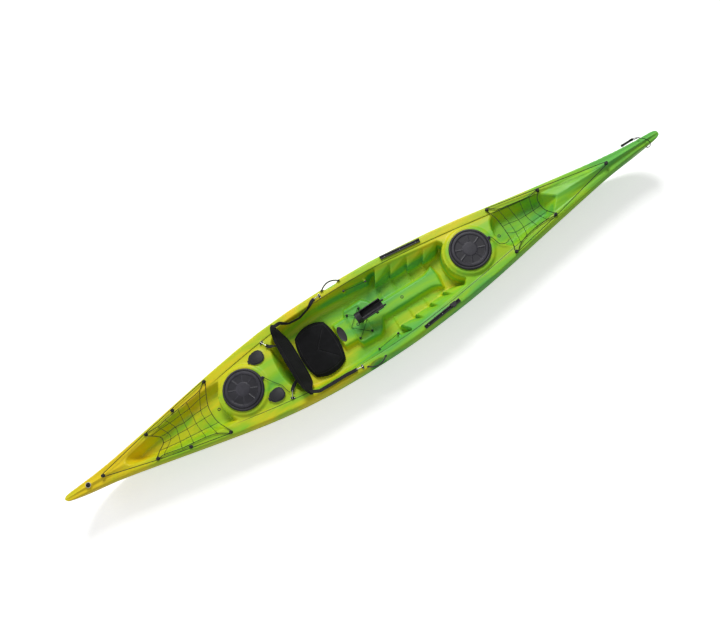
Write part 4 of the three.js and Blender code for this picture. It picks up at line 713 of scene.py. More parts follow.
def round_post(x, y, z, reach, start, end):
    """Points round an upright post at a reach from its middle, every 30 degrees or less. The corners
    lie a little outside the circle, so that the straight runs between them clear it."""
    steps = max(math.ceil(abs(end - start) / 30), 1)
    step = (end - start) / steps
    corner = reach / math.cos(math.radians(step / 2))
    turns = [math.radians(start + step * i) for i in range(steps + 1)]
    return [[x + corner * math.cos(a), y + corner * math.sin(a), z] for a in turns]


def round_stem(name, start, end, layer):
    """Points round a button's stem, between two compass angles from the bow."""
    return round_post(*BUTTONS[name], cord_height(name, layer), STEM_REACH, start, end)


def at_stem(name, angle, layer):
    """One point beside a button's stem."""
    return round_stem(name, angle, angle, layer)[0]


def straight_between(a, b, count=6):
    """Points on the straight run between two places, so that the smooth path stays straight there."""
    share = np.linspace(0, 1, count + 2)[1:-1, None]
    return (np.asarray(a) * (1 - share) + np.asarray(b) * share).tolist()


def with_runs(*arcs):
    """Arcs round stems, with straight runs between them."""
    route = list(arcs[0])
    for arc in arcs[1:]:
        route += straight_between(route[-1], arc[0]) + list(arc)
    return route


bow_route = with_runs(
    round_stem("front_inner_port", -60, -260, 1), [at_stem("front_outer_port", 90, 1)],
    round_stem("bow", 80, -80, 1), [at_stem("front_outer_starboard", -90, 1)],
    round_stem("front_inner_starboard", 260, 60, 1),
)
stern_route = with_runs(
    round_stem("rear_inner_port", -120, 80, 1), [at_stem("rear_middle_port", 90, 1)],
    [at_stem("rear_outer_port", 90, 1)], round_stem("stern", 100, 260, 1),
    [at_stem("rear_outer_starboard", -90, 1)], [at_stem("rear_middle_starboard", -90, 1)],
    round_stem("rear_inner_starboard", -80, 120, 1),
)
for node, route in (("bow_bungee", bow_route), ("stern_bungee", stern_route)):
    path = rounded_path(route, PATH_STEP)
    made = tube_piece(node + "_cord", path, CORD_WIDE / 2, CORD, stands_for=node, slot="bungee_cord")

# %% [markdown]
# ## The nets
# Each cargo well is covered by a net: an edge cord round four buttons, and thinner lines across and
# along. The lines are knotted where they cross, so a small bead sits on each crossing.

# %% Net routes
FRONT_NET = {
    "rear": [[1136, 95], [1139, -14], [1131, -118]],
    "front": [[1449, 57], [1441, -14], [1458, -57]],
    "port": [[1411, 104], [1252, 129], [1190, 143]],
    "starboard": [[1178, -150], [1242, -127], [1340, -110], [1423, -108]],
    "across": [
        [[1183, 143], [1192, 14], [1190, -64], [1178, -150]],
        [[1250, 129], [1257, 0], [1256, -64], [1242, -127]],
        [[1341, 116], [1316, 0], [1326, -64], [1340, -110]],
        [[1411, 104], [1379, 0], [1395, -60], [1420, -108]],
    ],
    "along": [
        [[1139, 21], [1192, 14], [1257, 0], [1316, 0], [1379, 0], [1443, 4]],
        [[1137, -35], [1190, -64], [1256, -64], [1326, -64], [1395, -60], [1458, -57]],
    ],
}
REAR_NET = {
    "front": [[-1244, 62], [-1253, -18], [-1240, -100]],
    "rear": [[-1639, 28], [-1637, -21], [-1680, -53]],
    "port": [[-1623, 99], [-1556, 113], [-1444, 130], [-1370, 142], [-1252, 166]],
    "starboard": [[-1670, -93], [-1539, -121], [-1453, -131], [-1360, -143], [-1281, -163]],
    "across": [
        [[-1623, 99], [-1580, 25], [-1580, -25], [-1670, -93]],
        [[-1556, 113], [-1516, 32], [-1519, -21], [-1539, -121]],
        [[-1444, 130], [-1448, 25], [-1449, -25], [-1453, -131]],
        [[-1370, 142], [-1374, 35], [-1377, -25], [-1370, -88], [-1360, -143]],
        [[-1252, 166], [-1308, 39], [-1311, -25], [-1300, -95], [-1281, -163]],
    ],
    "along": [
        [[-1684, 66], [-1622, 74], [-1526, 78], [-1444, 85], [-1369, 92], [-1291, 110], [-1228, 118]],
        [[-1639, 28], [-1580, 25], [-1516, 32], [-1448, 25], [-1374, 35], [-1308, 39], [-1248, 42]],
        [[-1637, -21], [-1580, -25], [-1519, -21], [-1449, -25], [-1377, -25], [-1311, -25], [-1251, -25]],
        [[-1680, -53], [-1618, -63], [-1533, -74], [-1457, -81], [-1370, -88], [-1300, -95], [-1240, -100]],
    ],
}


# %% Nets
def net_piece(name, node, table, span, edge):
    """An edge cord, its lines and a bead at each crossing, all lifted to the plane between two buttons."""
    (x1, z1), (x2, z2) = [(BUTTONS[s][0], cord_height(s, 0)) for s in span]

    def lift(points):
        return [[x, y, z1 + (z2 - z1) * (x - x1) / (x2 - x1)] for x, y in points]

    edge_path = rounded_path(edge(table, lift), 4.0, closed=True)
    grids = [(tube_grid(edge_path, CORD_WIDE / 2, 8, closed=True), True)]
    for line in table["across"] + table["along"]:
        grids.append((tube_grid(rounded_path(lift(line), 7.0), LINE_WIDE / 2, 6), False))
    met = {tuple(point) for line in table["along"] for point in line}
    met &= {tuple(point) for line in table["across"] for point in line}
    for point in sorted(met):
        x, y, z = lift([point])[0]
        bead = turned_grid([(0.6, -3), (2.6, -2), (3.4, 0), (2.6, 2), (0.6, 3)], 8) + [x, y, z]
        grids.append((bead, False))
    points, faces = joined(grids)
    total = sum(path_length(np.array(lift(line))) for line in table["across"] + table["along"])
    print(name, "edge", round(path_length(edge_path, True) * MM, 3), "m, lines", round(total * MM, 3), "m")
    uv = np.stack([points[:, 0] * MM, points[:, 1] * 0.01], -1)
    return piece(name, points, faces, LINE, stands_for=node, slot="bungee_cord", uv=uv)


def front_edge(t, lift):
    return (
        lift(t["rear"]) + round_stem("front_inner_starboard", 170, 310, 0) + lift(t["starboard"])
        + round_stem("front_outer_starboard", -110, 50, 0) + lift(t["front"][::-1])
        + round_stem("front_outer_port", -50, 110, 0) + lift(t["port"])
        + round_stem("front_inner_port", 50, 190, 0)
    )


def rear_edge(t, lift):
    return (
        lift(t["front"][::-1]) + round_stem("rear_inner_port", -10, 130, 0) + lift(t["port"][::-1])
        + round_stem("rear_outer_port", 70, 230, 0) + lift(t["rear"])
        + round_stem("rear_outer_starboard", 130, 290, 0) + lift(t["starboard"])
        + round_stem("rear_inner_starboard", -130, 10, 0)
    )


net_piece("bow_cargo_net", "bow_net", FRONT_NET, ("front_inner_port", "front_outer_port"), front_edge)
net_piece("stern_cargo_net", "stern_net", REAR_NET, ("rear_outer_port", "rear_inner_port"), rear_edge)

# %% [markdown]
# ## Lid tethers
# A short cord ties each lid to the deck, so that an opened lid isn't lost. On the kayak one end moves
# with the lid and the other stays on the deck; here each is one fixed tube from the lid's lug to the deck.

# %% Lid tethers
HATCH_X = (858.0, -981.0)
LID_RADIUS = 148.0
LID_HIGH = 24.0
LID_WALL = 5.0
HATCH_Z = [low(f"{end}_hatch_frame")[2] + 26.0 for end in ("front", "rear")]


def tether(name, node, i, route):
    """A loose cord from a lid's lug to the deck."""
    x, z = HATCH_X[i] + LID_RADIUS + LID_WALL * 1.2, HATCH_Z[i]
    start = [
        [x, 0, z + LID_HIGH * 0.05], [x, 0, z + LID_HIGH * 0.7],
        [x + LID_WALL * 2.6, -LID_WALL, z + LID_HIGH * 0.72],
        [x + LID_WALL * 4, -LID_WALL * 4, z + LID_HIGH * 0.6],
    ]
    path = rounded_path(start + route, PATH_STEP)
    grid = tube_grid(path, TETHER_WIDE / 2, 8)
    faces = outwards(closed_faces(len(path), 8), grid.reshape(-1, 3))
    along = np.repeat(np.arange(len(path)) * PATH_STEP * MM, 8)
    around = np.tile(np.abs(np.linspace(-1, 1, 8)), len(path))
    made = mesh_object(name, grid, faces, np.stack([along, around], -1))
    made.data.materials.append(LINE)
    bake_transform(made)
    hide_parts(node)


tether("front_tether_cord", "front_lid_tether", 0,
       [[1050, -70, 300], [1076, -92, 303], [1105, -96, 306], [1123, -84, 312]])
tether("rear_tether_cord", "rear_lid_tether", 1,
       [[-776, -66, 293], [-741, -110, 291], [-728, -150, 290], [-714, -186, 291]])

# %% [markdown]
# ## The hull
# A sit-on-top hull is one rotomoulded shell. Its deck, seen from above, has one height at each place,
# so the deck is made as a height map: each triangle of the moulded solid is drawn onto a fine grid of
# heights, and the highest stays. A blur of a few millimetres gives the soft edges of real moulding.
# Below the gunwale the shell follows its own sections, swept from stern to bow.
#
# The shell is closed. It has no hollow, and no openings at the hatches, rod tubes, drains or plug:
# a lifted lid shows plastic at the height of the frame's seat, and each drain is a black rim: painted
# shade that stands in for the dark of the opening.

# %% The deck as a height map
CELL = 2.5
HALF_LONG = 2400.0
HALF_BEAM = 343.0
hull_points = np.empty(len(nodes["hull"].data.vertices) * 3, np.float32)
nodes["hull"].data.vertices.foreach_get("co", hull_points)
hull_points = hull_points.reshape(-1, 3).astype(float) / MM
nodes["hull"].data.calc_loop_triangles()
hull_faces = np.array([t.vertices[:] for t in nodes["hull"].data.loop_triangles])
map_x = np.arange(-HALF_LONG, HALF_LONG + CELL, CELL)
map_y = np.arange(-HALF_BEAM - 2, HALF_BEAM + 2 + CELL, CELL)
EMPTY = -1e6


def height_map(points, faces):
    """The highest triangle over each cell: inside its three edges, a triangle's height is the sum of
    its corners' heights, each weighted by its share of the area."""
    heights = np.full((len(map_x), len(map_y)), EMPTY)
    for a, b, c in points[faces]:
        area = (b[0] - a[0]) * (c[1] - a[1]) - (c[0] - a[0]) * (b[1] - a[1])
        if abs(area) < 1e-6:
            continue
        x1, x2 = np.searchsorted(map_x, [min(a[0], b[0], c[0]) - 0.01, max(a[0], b[0], c[0]) + 0.01])
        y1, y2 = np.searchsorted(map_y, [min(a[1], b[1], c[1]) - 0.01, max(a[1], b[1], c[1]) + 0.01])
        if x1 == x2 or y1 == y2:
            continue
        x, y = map_x[x1:x2, None], map_y[None, y1:y2]
        v = ((x - a[0]) * (c[1] - a[1]) - (c[0] - a[0]) * (y - a[1])) / area
        w = ((b[0] - a[0]) * (y - a[1]) - (x - a[0]) * (b[1] - a[1])) / area
        inside = (v >= -1e-4) & (w >= -1e-4) & (v + w <= 1.0001)
        z = np.where(inside, a[2] + v * (b[2] - a[2]) + w * (c[2] - a[2]), EMPTY)
        np.maximum(heights[x1:x2, y1:y2], z, out=heights[x1:x2, y1:y2])
    return heights


raw = height_map(hull_points, hull_faces)
print("height map:", raw.shape, "filled", round(float((raw > 0).mean()), 3))


# %% Holes filled, edges softened
def blurred(values, known, width):
    """Each cell becomes the mean of its neighbours, weighted by a bell curve and by what is known."""
    reach = int(width * 3 / CELL) + 1
    bell = np.exp(-0.5 * (np.arange(-reach, reach + 1) * CELL / width) ** 2)
    out, weight = np.where(known, values, 0.0), known.astype(float)
    for axis in (0, 1):
        out = sum(b * np.roll(out, k - reach, axis) for k, b in enumerate(bell))
        weight = sum(b * np.roll(weight, k - reach, axis) for k, b in enumerate(bell))
    return out / np.maximum(weight, 1e-9), weight


FRAME_REACH, DRAIN_REACH = 124, 10
TUBE_X, TUBE_Y, TUBE_HALF_LONG, TUBE_HALF_WIDE = -800.0, 152.0, 36, 30
TUBE_Z = high("rod_tube_port")[2] - 4.3
DRAINS = [(-72.0, 178.0), (294.0, 178.0), (1106.0, 198.0), (-1216.0, 198.0)]
BELOW_ANY_DECK = 100
far_x, far_y = np.meshgrid(map_x, map_y, indexing="ij")
filled = raw.copy()
for x, z in zip(HATCH_X, HATCH_Z):
    filled[np.hypot(far_x - x, far_y) < FRAME_REACH] = z
for side in (1, -1):
    hole = (np.abs(far_x - TUBE_X) < TUBE_HALF_LONG) & (np.abs(far_y - side * TUBE_Y) < TUBE_HALF_WIDE)
    filled[hole & (filled < TUBE_Z - 4)] = TUBE_Z
for x, z in DRAINS:
    filled[np.hypot(far_x - x, far_y) < DRAIN_REACH] = z
known = filled > BELOW_ANY_DECK
soft, weight = blurred(filled, known, 3.2)
near, _ = blurred(soft, weight > 0.02, 14.0)
deck_map = np.where(weight > 0.02, soft, near)
deck_span = deck_map[known].min(), deck_map[known].max()
print("deck heights: {:.1f} to {:.1f} mm".format(*deck_span))

# %% Sections below the gunwale
STATIONS = [
    -1, -0.996, -0.985, -0.96, -0.91, -0.85, -0.78, -0.71, -0.63, -0.55, -0.47, -0.38, -0.29, -0.19, -0.09, 0,
    0.09, 0.19, 0.29, 0.38, 0.47, 0.55, 0.63, 0.69, 0.75, 0.81, 0.87, 0.925, 0.965, 0.987, 0.996, 1,
]
BREADTH = [
    (-1, 0.02), (-0.998, 0.05), (-0.993, 0.068), (-0.98, 0.085), (-0.94, 0.115), (-0.892, 0.155),
    (-0.833, 0.222), (-0.779, 0.3), (-0.667, 0.46), (-0.55, 0.625), (-0.433, 0.778), (-0.319, 0.905),
    (-0.204, 0.98), (-0.06, 1), (0.06, 0.985), (0.202, 0.906), (0.319, 0.81), (0.435, 0.675),
    (0.55, 0.53), (0.67, 0.385), (0.7875, 0.24), (0.85, 0.172), (0.91, 0.122), (0.96, 0.1),
    (0.985, 0.09), (0.994, 0.072), (0.998, 0.05), (1, 0.02),
]
KEEL = [
    (-1, 1.02), (-0.997, 0.86), (-0.985, 0.62), (-0.965, 0.4), (-0.93, 0.21), (-0.87, 0.085),
    (-0.76, 0.02), (-0.6, 0), (0.58, 0), (0.74, 0.025), (0.85, 0.095), (0.92, 0.22),
    (0.96, 0.42), (0.983, 0.65), (0.996, 0.9), (1, 1.07),
]
BAND = [(-1, 0.3), (-0.85, 0.45), (-0.4, 0.72), (0, 0.82), (0.4, 0.72), (0.85, 0.45), (1, 0.3)]
SHEER = [
    (-1, 1.14), (-0.8, 1.09), (-0.62, 1.05), (-0.4, 1.02), (-0.2, 1.005), (0, 1), (0.2, 1.005),
    (0.36, 1.02), (0.62, 1.06), (0.8, 1.115), (1, 1.19),
]
MID_SECTION = [
    (0, 0), (0.1, 0), (0.42, 0.055), (0.72, 0.15), (0.9, 0.36), (0.985, 0.62), (1, 0.8), (0.985, 0.93),
]
END_SECTION = [
    (0, 0), (0.12, 0), (0.3, 0.1), (0.5, 0.26), (0.72, 0.48), (0.92, 0.72), (1, 0.86), (0.97, 0.95),
]
GUNWALE = 275.0


def table_at(rows, place):
    """A smooth value from a table: a cubic in each span, whose slope at a row is the harmonic mean of
    the slopes beside it, and zero where they differ in sign."""
    x, y = np.array(rows, float).T
    chord = np.diff(y) / np.diff(x)
    slope = np.empty(len(x))
    slope[0], slope[-1] = chord[0], chord[-1]
    a, b = chord[:-1], chord[1:]
    slope[1:-1] = np.where(a * b > 0, 2 * a * b / np.where(a + b == 0, 1, a + b), 0)
    i = np.clip(np.searchsorted(x, place, side="right") - 1, 0, len(x) - 2)
    w = x[i + 1] - x[i]
    t = np.clip((place - x[i]) / w, 0, 1)
    return (
        (2 * t**3 - 3 * t**2 + 1) * y[i] + (t**3 - 2 * t**2 + t) * slope[i] * w
        + (3 * t**2 - 2 * t**3) * y[i + 1] + (t**3 - t**2) * slope[i + 1] * w
    )


def smoothstep(value, start, end):
    t = np.clip((value - start) / (end - start), 0, 1)
    return t * t * (3 - 2 * t)


def hull_sections(rows_x):
    """For each x: [out, up] from the keel to just under the gunwale. The sections at the stations are
    joined by straight runs, as the solid's are, and then smoothed along the hull."""
    s = np.array(STATIONS, float)
    breadth = table_at(BREADTH, s) * HALF_BEAM
    keel = table_at(KEEL, s) * GUNWALE
    sheer = table_at(SHEER, s) * GUNWALE
    fullness = 1 - smoothstep(np.abs(s), 0.35, 0.97)
    mid, end = np.array(MID_SECTION), np.array(END_SECTION)
    shares = end[None] + (mid - end)[None] * fullness[:, None, None]
    out = shares[:, :, 0] * breadth[:, None]
    up = keel[:, None] + shares[:, :, 1] * (sheer - keel)[:, None]
    table = np.stack([out, up], -1)
    fine = np.arange(-HALF_LONG, HALF_LONG + 1, 10.0)
    lines = np.array([[np.interp(fine, s * HALF_LONG, table[:, k, c]) for c in (0, 1)] for k in range(8)])
    width = np.clip((HALF_LONG - np.abs(fine)) * 0.35, 2, 90)
    spread = np.exp(-0.5 * ((fine[:, None] - fine[None, :]) / width[:, None]) ** 2)
    spread /= spread.sum(1)[:, None]
    even = np.einsum("ij,kcj->kci", spread, lines)
    at_rows = np.array([[np.interp(rows_x, fine, even[k, c]) for c in (0, 1)] for k in range(8)])
    return at_rows.transpose(2, 0, 1)


def map_at(values, x, y):
    """A map's value at places between its cells, from the four cells round each."""
    i = np.clip((x - map_x[0]) / CELL, 0, len(map_x) - 1.001)
    j = np.clip((y - map_y[0]) / CELL, 0, len(map_y) - 1.001)
    i0, j0 = i.astype(int), j.astype(int)
    u, v = i - i0, j - j0
    return (
        values[i0, j0] * (1 - u) * (1 - v) + values[i0 + 1, j0] * u * (1 - v)
        + values[i0, j0 + 1] * (1 - u) * v + values[i0 + 1, j0 + 1] * u * v
    )


# %% The shell as one closed grid
DECK_SHARE = 0.985
DECK_POINTS = 111
SIDE_POINTS = 15
SIDE_STEP = 0.8


def shell(rows_x, across, heights):
    """Closed rings: up the port side from the keel, over the deck, and down the starboard side. A
    side point higher than the deck's edge, as at a finger scoop, is brought down to it."""
    section = hull_sections(rows_x)
    beam = section[:, :, 0].max(1)
    t = np.linspace(1, -1, across)
    t = np.sign(t) * (1 - (1 - np.abs(t)) ** 1.15)
    y = t[None, :] * (beam * DECK_SHARE)[:, None]
    x = np.broadcast_to(rows_x[:, None], y.shape)
    z = map_at(heights, x, y)
    deck = np.stack([x, y, z], -1)
    limit = np.minimum(z[:, 0], z[:, -1])
    u = np.linspace(0, 7, SIDE_POINTS, endpoint=False)
    k = np.minimum(u.astype(int), 6)
    f = (u - k)[None, :, None]
    a, b, c, d = (section[:, np.clip(k + shift, 0, 7), :] for shift in (-1, 0, 1, 2))
    a = np.where((k == 0)[None, :, None], section[:, [1], :] * [-1, 1], a)
    side = cubic(a, b, c, d, f)
    order = np.arange(SIDE_POINTS)[::-1]
    top = limit[:, None] - (order[None, :] + 1) * SIDE_STEP
    over = side[:, :, 1] > top
    out = side[:, :, 0].copy()
    for row in np.nonzero(over.any(1))[0]:
        rising = np.maximum.accumulate(side[row, :, 1])
        out[row] = np.where(over[row], np.interp(top[row], rising, side[row, :, 0]), out[row])
    up = np.minimum(side[:, :, 1], top)
    xs = np.broadcast_to(rows_x[:, None], out.shape)
    port = np.stack([xs, out, up], -1)
    starboard = np.stack([xs, -out, up], -1)[:, ::-1][:, :-1]
    return np.concatenate([port, deck, starboard], 1)


fine_rows = np.concatenate([
    np.arange(-2400, -1950, 11.0), np.arange(-1950, -1150, 8.0), np.arange(-1150, -720, 9.0),
    np.arange(-720, 780, 6.5), np.arange(780, 1030, 9.0), np.arange(1030, 1600, 8.0),
    np.arange(1600, 2400, 12.0), [2394.0, 2400.0],
])
ring_points = DECK_POINTS + 2 * SIDE_POINTS - 1
outer_grid = np.clip(shell(fine_rows, DECK_POINTS, deck_map), low("hull"), high("hull"))
outer_faces = grid_faces(len(fine_rows), ring_points, wrap_columns=True).tolist()
outer_faces.append(list(reversed(range(ring_points))))
outer_faces.append(list(range((len(fine_rows) - 1) * ring_points, len(fine_rows) * ring_points)))
outer = mesh_object("kayak_hull", outer_grid, outer_faces)
outer.data.validate()
places = np.empty(len(outer.data.vertices) * 3, np.float32)
outer.data.vertices.foreach_get("co", places)
places = places.reshape(-1, 3) / MM
share = places[:, 0] / HALF_LONG
from_band = np.abs(places[:, 1]) - table_at(BAND, share) * table_at(BREADTH, share) * HALF_BEAM
measure = outer.data.attributes.new("from_band", "FLOAT", "POINT")
measure.data.foreach_set("value", from_band.astype(np.float32))
outer.data.set_sharp_from_angle(angle=math.radians(50))
dress(outer, HULL, "kayak", "hull")
print("hull:", sum(len(p.vertices) - 2 for p in outer.data.polygons), "triangles")

# %% [markdown]
# ## Hatches
# Each round hatch has a frame screwed to the deck and a rubber lid that snaps over it. The lid is
# turned, with a skirt, a raised rim, a valley and a middle disc joined to the rim by eight ribs.
# A small turned washer on its edge is the lug that the tether is tied to.

# %% Hatch frames and lids
HATCH_BORE = 118.0
for i, end in enumerate(("front", "rear")):
    neck, flange = HATCH_BORE + 3.5, HATCH_BORE + 22
    ring = [(HATCH_BORE, -26), (neck, -26), (neck, GAP), (flange, GAP), (flange, 7), (HATCH_BORE, 7)]
    turned_piece(f"{end}_hatch_ring", ring, (HATCH_X[i], 0, HATCH_Z[i]), BLACK, 96, 1.2,
                 stands_for=f"{end}_hatch_frame", slot="black_plastic")


def lid_mesh():
    """The turned lid with eight ribs: between the middle disc and the rim, the top is raised near
    eight directions by a bell curve of the distance sideways from each."""
    r, h = LID_RADIUS, LID_HIGH
    outline = [
        (0, 7.3), (140.6, 7.3), (140.6, 0.3), (r, 0.3), (r, 0.5 * h), (0.95 * r, 0.84 * h),
        (0.9 * r, 0.82 * h), (0.88 * r, 0.68 * h), (0.84 * r, 0.98 * h), (0.74 * r, h),
        (0.7 * r, 0.78 * h), (0.35 * r, 0.78 * h), (0.32 * r, 0.92 * h), (0, 0.92 * h),
    ]
    profile = eased(outline, 2.2, 4)[1:-1]
    dense = [profile[0]]
    for a, b in zip(profile, profile[1:]):
        steps = max(int(np.linalg.norm(b - a) / 5), 1)
        dense += [a + (b - a) * t for t in np.linspace(0, 1, steps + 1)[1:]]
    grid = turned_grid(np.array(dense), 160)
    rr = np.hypot(grid[..., 0], grid[..., 1])
    angle = np.arctan2(grid[..., 1], grid[..., 0])
    apart = (angle / (np.pi / 4) - 0.5 + 0.5) % 1 - 0.5
    sideways = rr * np.sin(apart * np.pi / 4)
    between = smoothstep(rr, 0.33 * r, 0.37 * r) * (1 - smoothstep(rr, 0.69 * r, 0.72 * r))
    rib = np.exp(-((sideways / 3.4) ** 4)) * between * (grid[..., 2] > 0.5 * h)
    grid[..., 2] += rib * 0.1 * h
    uv = np.stack([rr / r, rib], -1).reshape(-1, 2)
    return grid.reshape(-1, 3), outwards(closed_faces(len(dense), 160), grid.reshape(-1, 3)), uv


lid_points, lid_faces, lid_uv = lid_mesh()
lug_points, lug_faces = turned_mesh([(3.2, 4.8), (12, 4.8), (12, 12), (3.2, 12)], 32, 1.5)
for i, end in enumerate(("front", "rear")):
    place = np.array([HATCH_X[i], 0, HATCH_Z[i]])
    piece(f"{end}_lid_rubber", lid_points + place, lid_faces, RUBBER, f"{end}_lid", f"{end}_hatch_lid",
          "hatch_rubber", uv=lid_uv)
    lug_place = place + [LID_RADIUS + LID_WALL * 1.2, 0, 0]
    piece(f"{end}_lid_lug", lug_points + lug_place, lug_faces, RUBBER, f"{end}_lid")

# %% [markdown]
# ## Deck buttons
# A deck button is a turned mushroom with a screw through it. The cords go round its stem.

# %% Buttons
top_of_stem = BUTTON_BASE + CORD_WIDE * 2.5
BUTTON = [
    (0, 0), (13, 0), (12.2, 1.6), (STEM * 1.3, BUTTON_BASE), (STEM, BUTTON_BASE + 3), (STEM, top_of_stem),
    (10.5, top_of_stem), (10.2, top_of_stem + 2.2), (7.9, top_of_stem + 4), (3.6, top_of_stem + 4),
    (2.4, top_of_stem + 2.6), (0, top_of_stem + 2.6),
]
for name, (x, y) in BUTTONS.items():
    node = "deck_button_" + name
    turned_piece("button_" + name, BUTTON, (x, y, low(node)[2]), BLACK, 28, 0.5,
                 stands_for=node, slot="black_plastic")

# %% [markdown]
# ## Seat
# The seat pad is soft foam under cloth. Its top is crowned, with a channel inset from the rim and a V
# between the thighs. The backrest is a thin pad whose wings curl over the gunwales.

# %% Seat pad
PAD_X, PAD_LONG, PAD_WIDE, PAD_HIGH = -396.0, 296.0, 392.0, 38.0
PAD_FLOOR = low("seat_pad")[2]


def pad_top(u, v):
    """Top of the pad over a rounded square: u and v run over the pad from -1 to 1, drawn in at the
    corners, and the height is a crown less a channel, a V groove and a shallow dish."""
    x = u * np.sqrt(1 - v * v * 0.36) * PAD_LONG / 2
    y = v * np.sqrt(1 - u * u * 0.36) * PAD_WIDE / 2
    rim = np.maximum(np.abs(u), np.abs(v))
    crown = 1 - 0.42 * smoothstep(rim, 0.84, 1)
    channel = 0.13 * np.exp(-(((rim - 0.86) / 0.022) ** 2))
    fork = u + 0.1 - np.abs(v) * 1.2
    inside = 1 - smoothstep(u, 0.62, 0.8)
    groove = 0.13 * np.exp(-((fork / 0.045) ** 2)) * inside * (1 - smoothstep(np.abs(v), 0.6, 0.78))
    dish = 0.1 * np.exp(-((u + 0.45) ** 2 + v * v) / 0.3)
    puff = 0.03 * (1 - smoothstep(rim, 0.0, 0.84))
    return x, y, PAD_HIGH * (crown - channel - groove - dish + puff)


def pad_mesh(n=120, m=150):
    """The top, then rings falling from its rim to a waist and a flat foot, and one face below."""
    warp = lambda t: np.sign(t) * (1 - (1 - np.abs(t)) ** 1.35)
    x, y, z = pad_top(*np.meshgrid(warp(np.linspace(-1, 1, n)), warp(np.linspace(-1, 1, m)), indexing="ij"))
    top = np.stack([x, y, z], -1).reshape(-1, 3)
    index = np.arange(n * m).reshape(n, m)
    rim = np.concatenate([index[0, :], index[1:, -1], index[-1, -2::-1], index[-2:0:-1, 0]])
    ring = top[rim]
    rings = []
    for share, out in ((0.25, 1.012), (0.5, 1.018), (0.75, 1.012), (0.93, 0.995), (1.0, 0.97)):
        low_ring = ring * [out, out, 0]
        low_ring[:, 2] = ring[:, 2] * (1 - share)
        rings.append(low_ring)
    points = np.vstack([top] + rings)
    faces = grid_faces(n, m)[:, ::-1].tolist()
    count = len(rim)
    last = rim
    for k in range(len(rings)):
        new = n * m + k * count + np.arange(count)
        nxt = np.roll(np.arange(count), -1)
        faces += np.stack([last, last[nxt], new[nxt], new], -1).tolist()
        last = new
    faces.append(last.tolist())
    return points, outwards(faces, points)


pad_points, pad_faces = pad_mesh()
seat = piece("seat_cushion", pad_points + [PAD_X, 0, PAD_FLOOR], pad_faces, COVER,
             stands_for="seat_pad", slot="seat_cover", sharp=80)


def binding(name, u, v, closed):
    """A thin sewn binding that lies in a channel of the pad."""
    path = np.stack(pad_top(u, v), -1) + [PAD_X, 0, PAD_FLOOR + 0.5]
    tube_piece(name, path, 1.7, PIPING, closed=closed, columns=8, slot="seat_cover")


inset = 0.86
side_way = np.linspace(-inset, inset, 40, endpoint=False)
still = np.full(40, inset)
binding("seat_rim_binding", np.concatenate([side_way, still, -side_way, -still]),
        np.concatenate([-still, side_way, still, -side_way]), True)
across = np.linspace(-0.64, 0.64, 61)
binding("seat_fork_binding", np.hypot(across, 0.03) * 1.2 - 0.1, across, False)

# %% Backrest
BACK_LONG, BACK_HALF, BACK_THICK, BACK_EDGE, WING_LIFT = 205.0, 285.0, 30.0, 10.0, 63.0
BACK_TILT = math.radians(24)
BACK_X = PAD_X - PAD_LONG / 2 - BACK_EDGE / 2
BACK_Z = 130 + PAD_HIGH
BACK_LOW = [(0, 0), (0.4, 0), (0.62, 0.06), (0.8, 0.22), (0.92, 0.34), (1, 0.4)]
BACK_HIGH = [(0, 1), (0.5, 0.98), (0.75, 0.86), (0.9, 0.7), (1, 0.58)]


def back_point(s, v, out):
    """A place on the backrest: s across it from -1 to 1, v up its slope, out from its middle."""
    s, v, out = np.broadcast_arrays(*(np.asarray(q, float) for q in (s, v, out)))
    lower = table_at(BACK_LOW, np.abs(s)) * BACK_LONG
    upper = table_at(BACK_HIGH, np.abs(s)) * BACK_LONG
    along = lower + (upper - lower) * v
    lift = WING_LIFT * smoothstep(np.abs(s), 0.6, 0.9)
    return np.stack([
        BACK_X - math.sin(BACK_TILT) * along + math.cos(BACK_TILT) * out, s * BACK_HALF,
        BACK_Z + math.cos(BACK_TILT) * along + math.sin(BACK_TILT) * out + lift,
    ], -1)


def back_spread(s):
    return BACK_THICK + (BACK_EDGE - BACK_THICK) * np.abs(s) ** 1.5


def backrest_mesh(rows=121, columns=56):
    """Closed sections across the pad: a rounded outline with a sewn channel near each long edge."""
    s = np.linspace(-1, 1, rows)[:, None]
    end = 1 - 0.35 * smoothstep(np.abs(s), 0.93, 1)
    shares = np.array([
        (0, 0), (0.012, 0.18), (0.05, 0.34), (0.1, 0.4), (0.145, 0.3), (0.165, 0.3), (0.21, 0.42),
        (0.35, 0.49), (0.5, 0.5), (0.65, 0.49), (0.79, 0.42), (0.835, 0.3), (0.855, 0.3), (0.9, 0.4),
        (0.95, 0.34), (0.988, 0.18),
        (1, 0), (0.96, -0.22), (0.88, -0.3), (0.5, -0.3), (0.12, -0.3), (0.04, -0.22),
    ])
    flat = np.column_stack([shares * 100, np.zeros(len(shares))])
    path = rounded_path(flat, 200 / columns, closed=True)[:, :2] / 100
    v = np.clip(0.5 + (path[:, 0][None, :] - 0.5) * end, 0, 1)
    return back_point(np.broadcast_to(s, v.shape), v, path[:, 1][None, :] * back_spread(s))


back_grid = backrest_mesh()
back_points = back_grid.reshape(-1, 3)
back_faces = outwards(closed_faces(*back_grid.shape[:2]), back_points)
back_pad = piece("backrest_cushion", back_points, back_faces, COVER, "seat_back",
                 stands_for="backrest", slot="seat_cover", sharp=80)

# %% [markdown]
# ## Straps, hooks and pad eyes
# Webbing straps hold the backrest. Each ends on a steel snap hook that is clipped to a plastic pad
# eye. A strap is a flat band with rounded edges, whose width direction turns along its route.

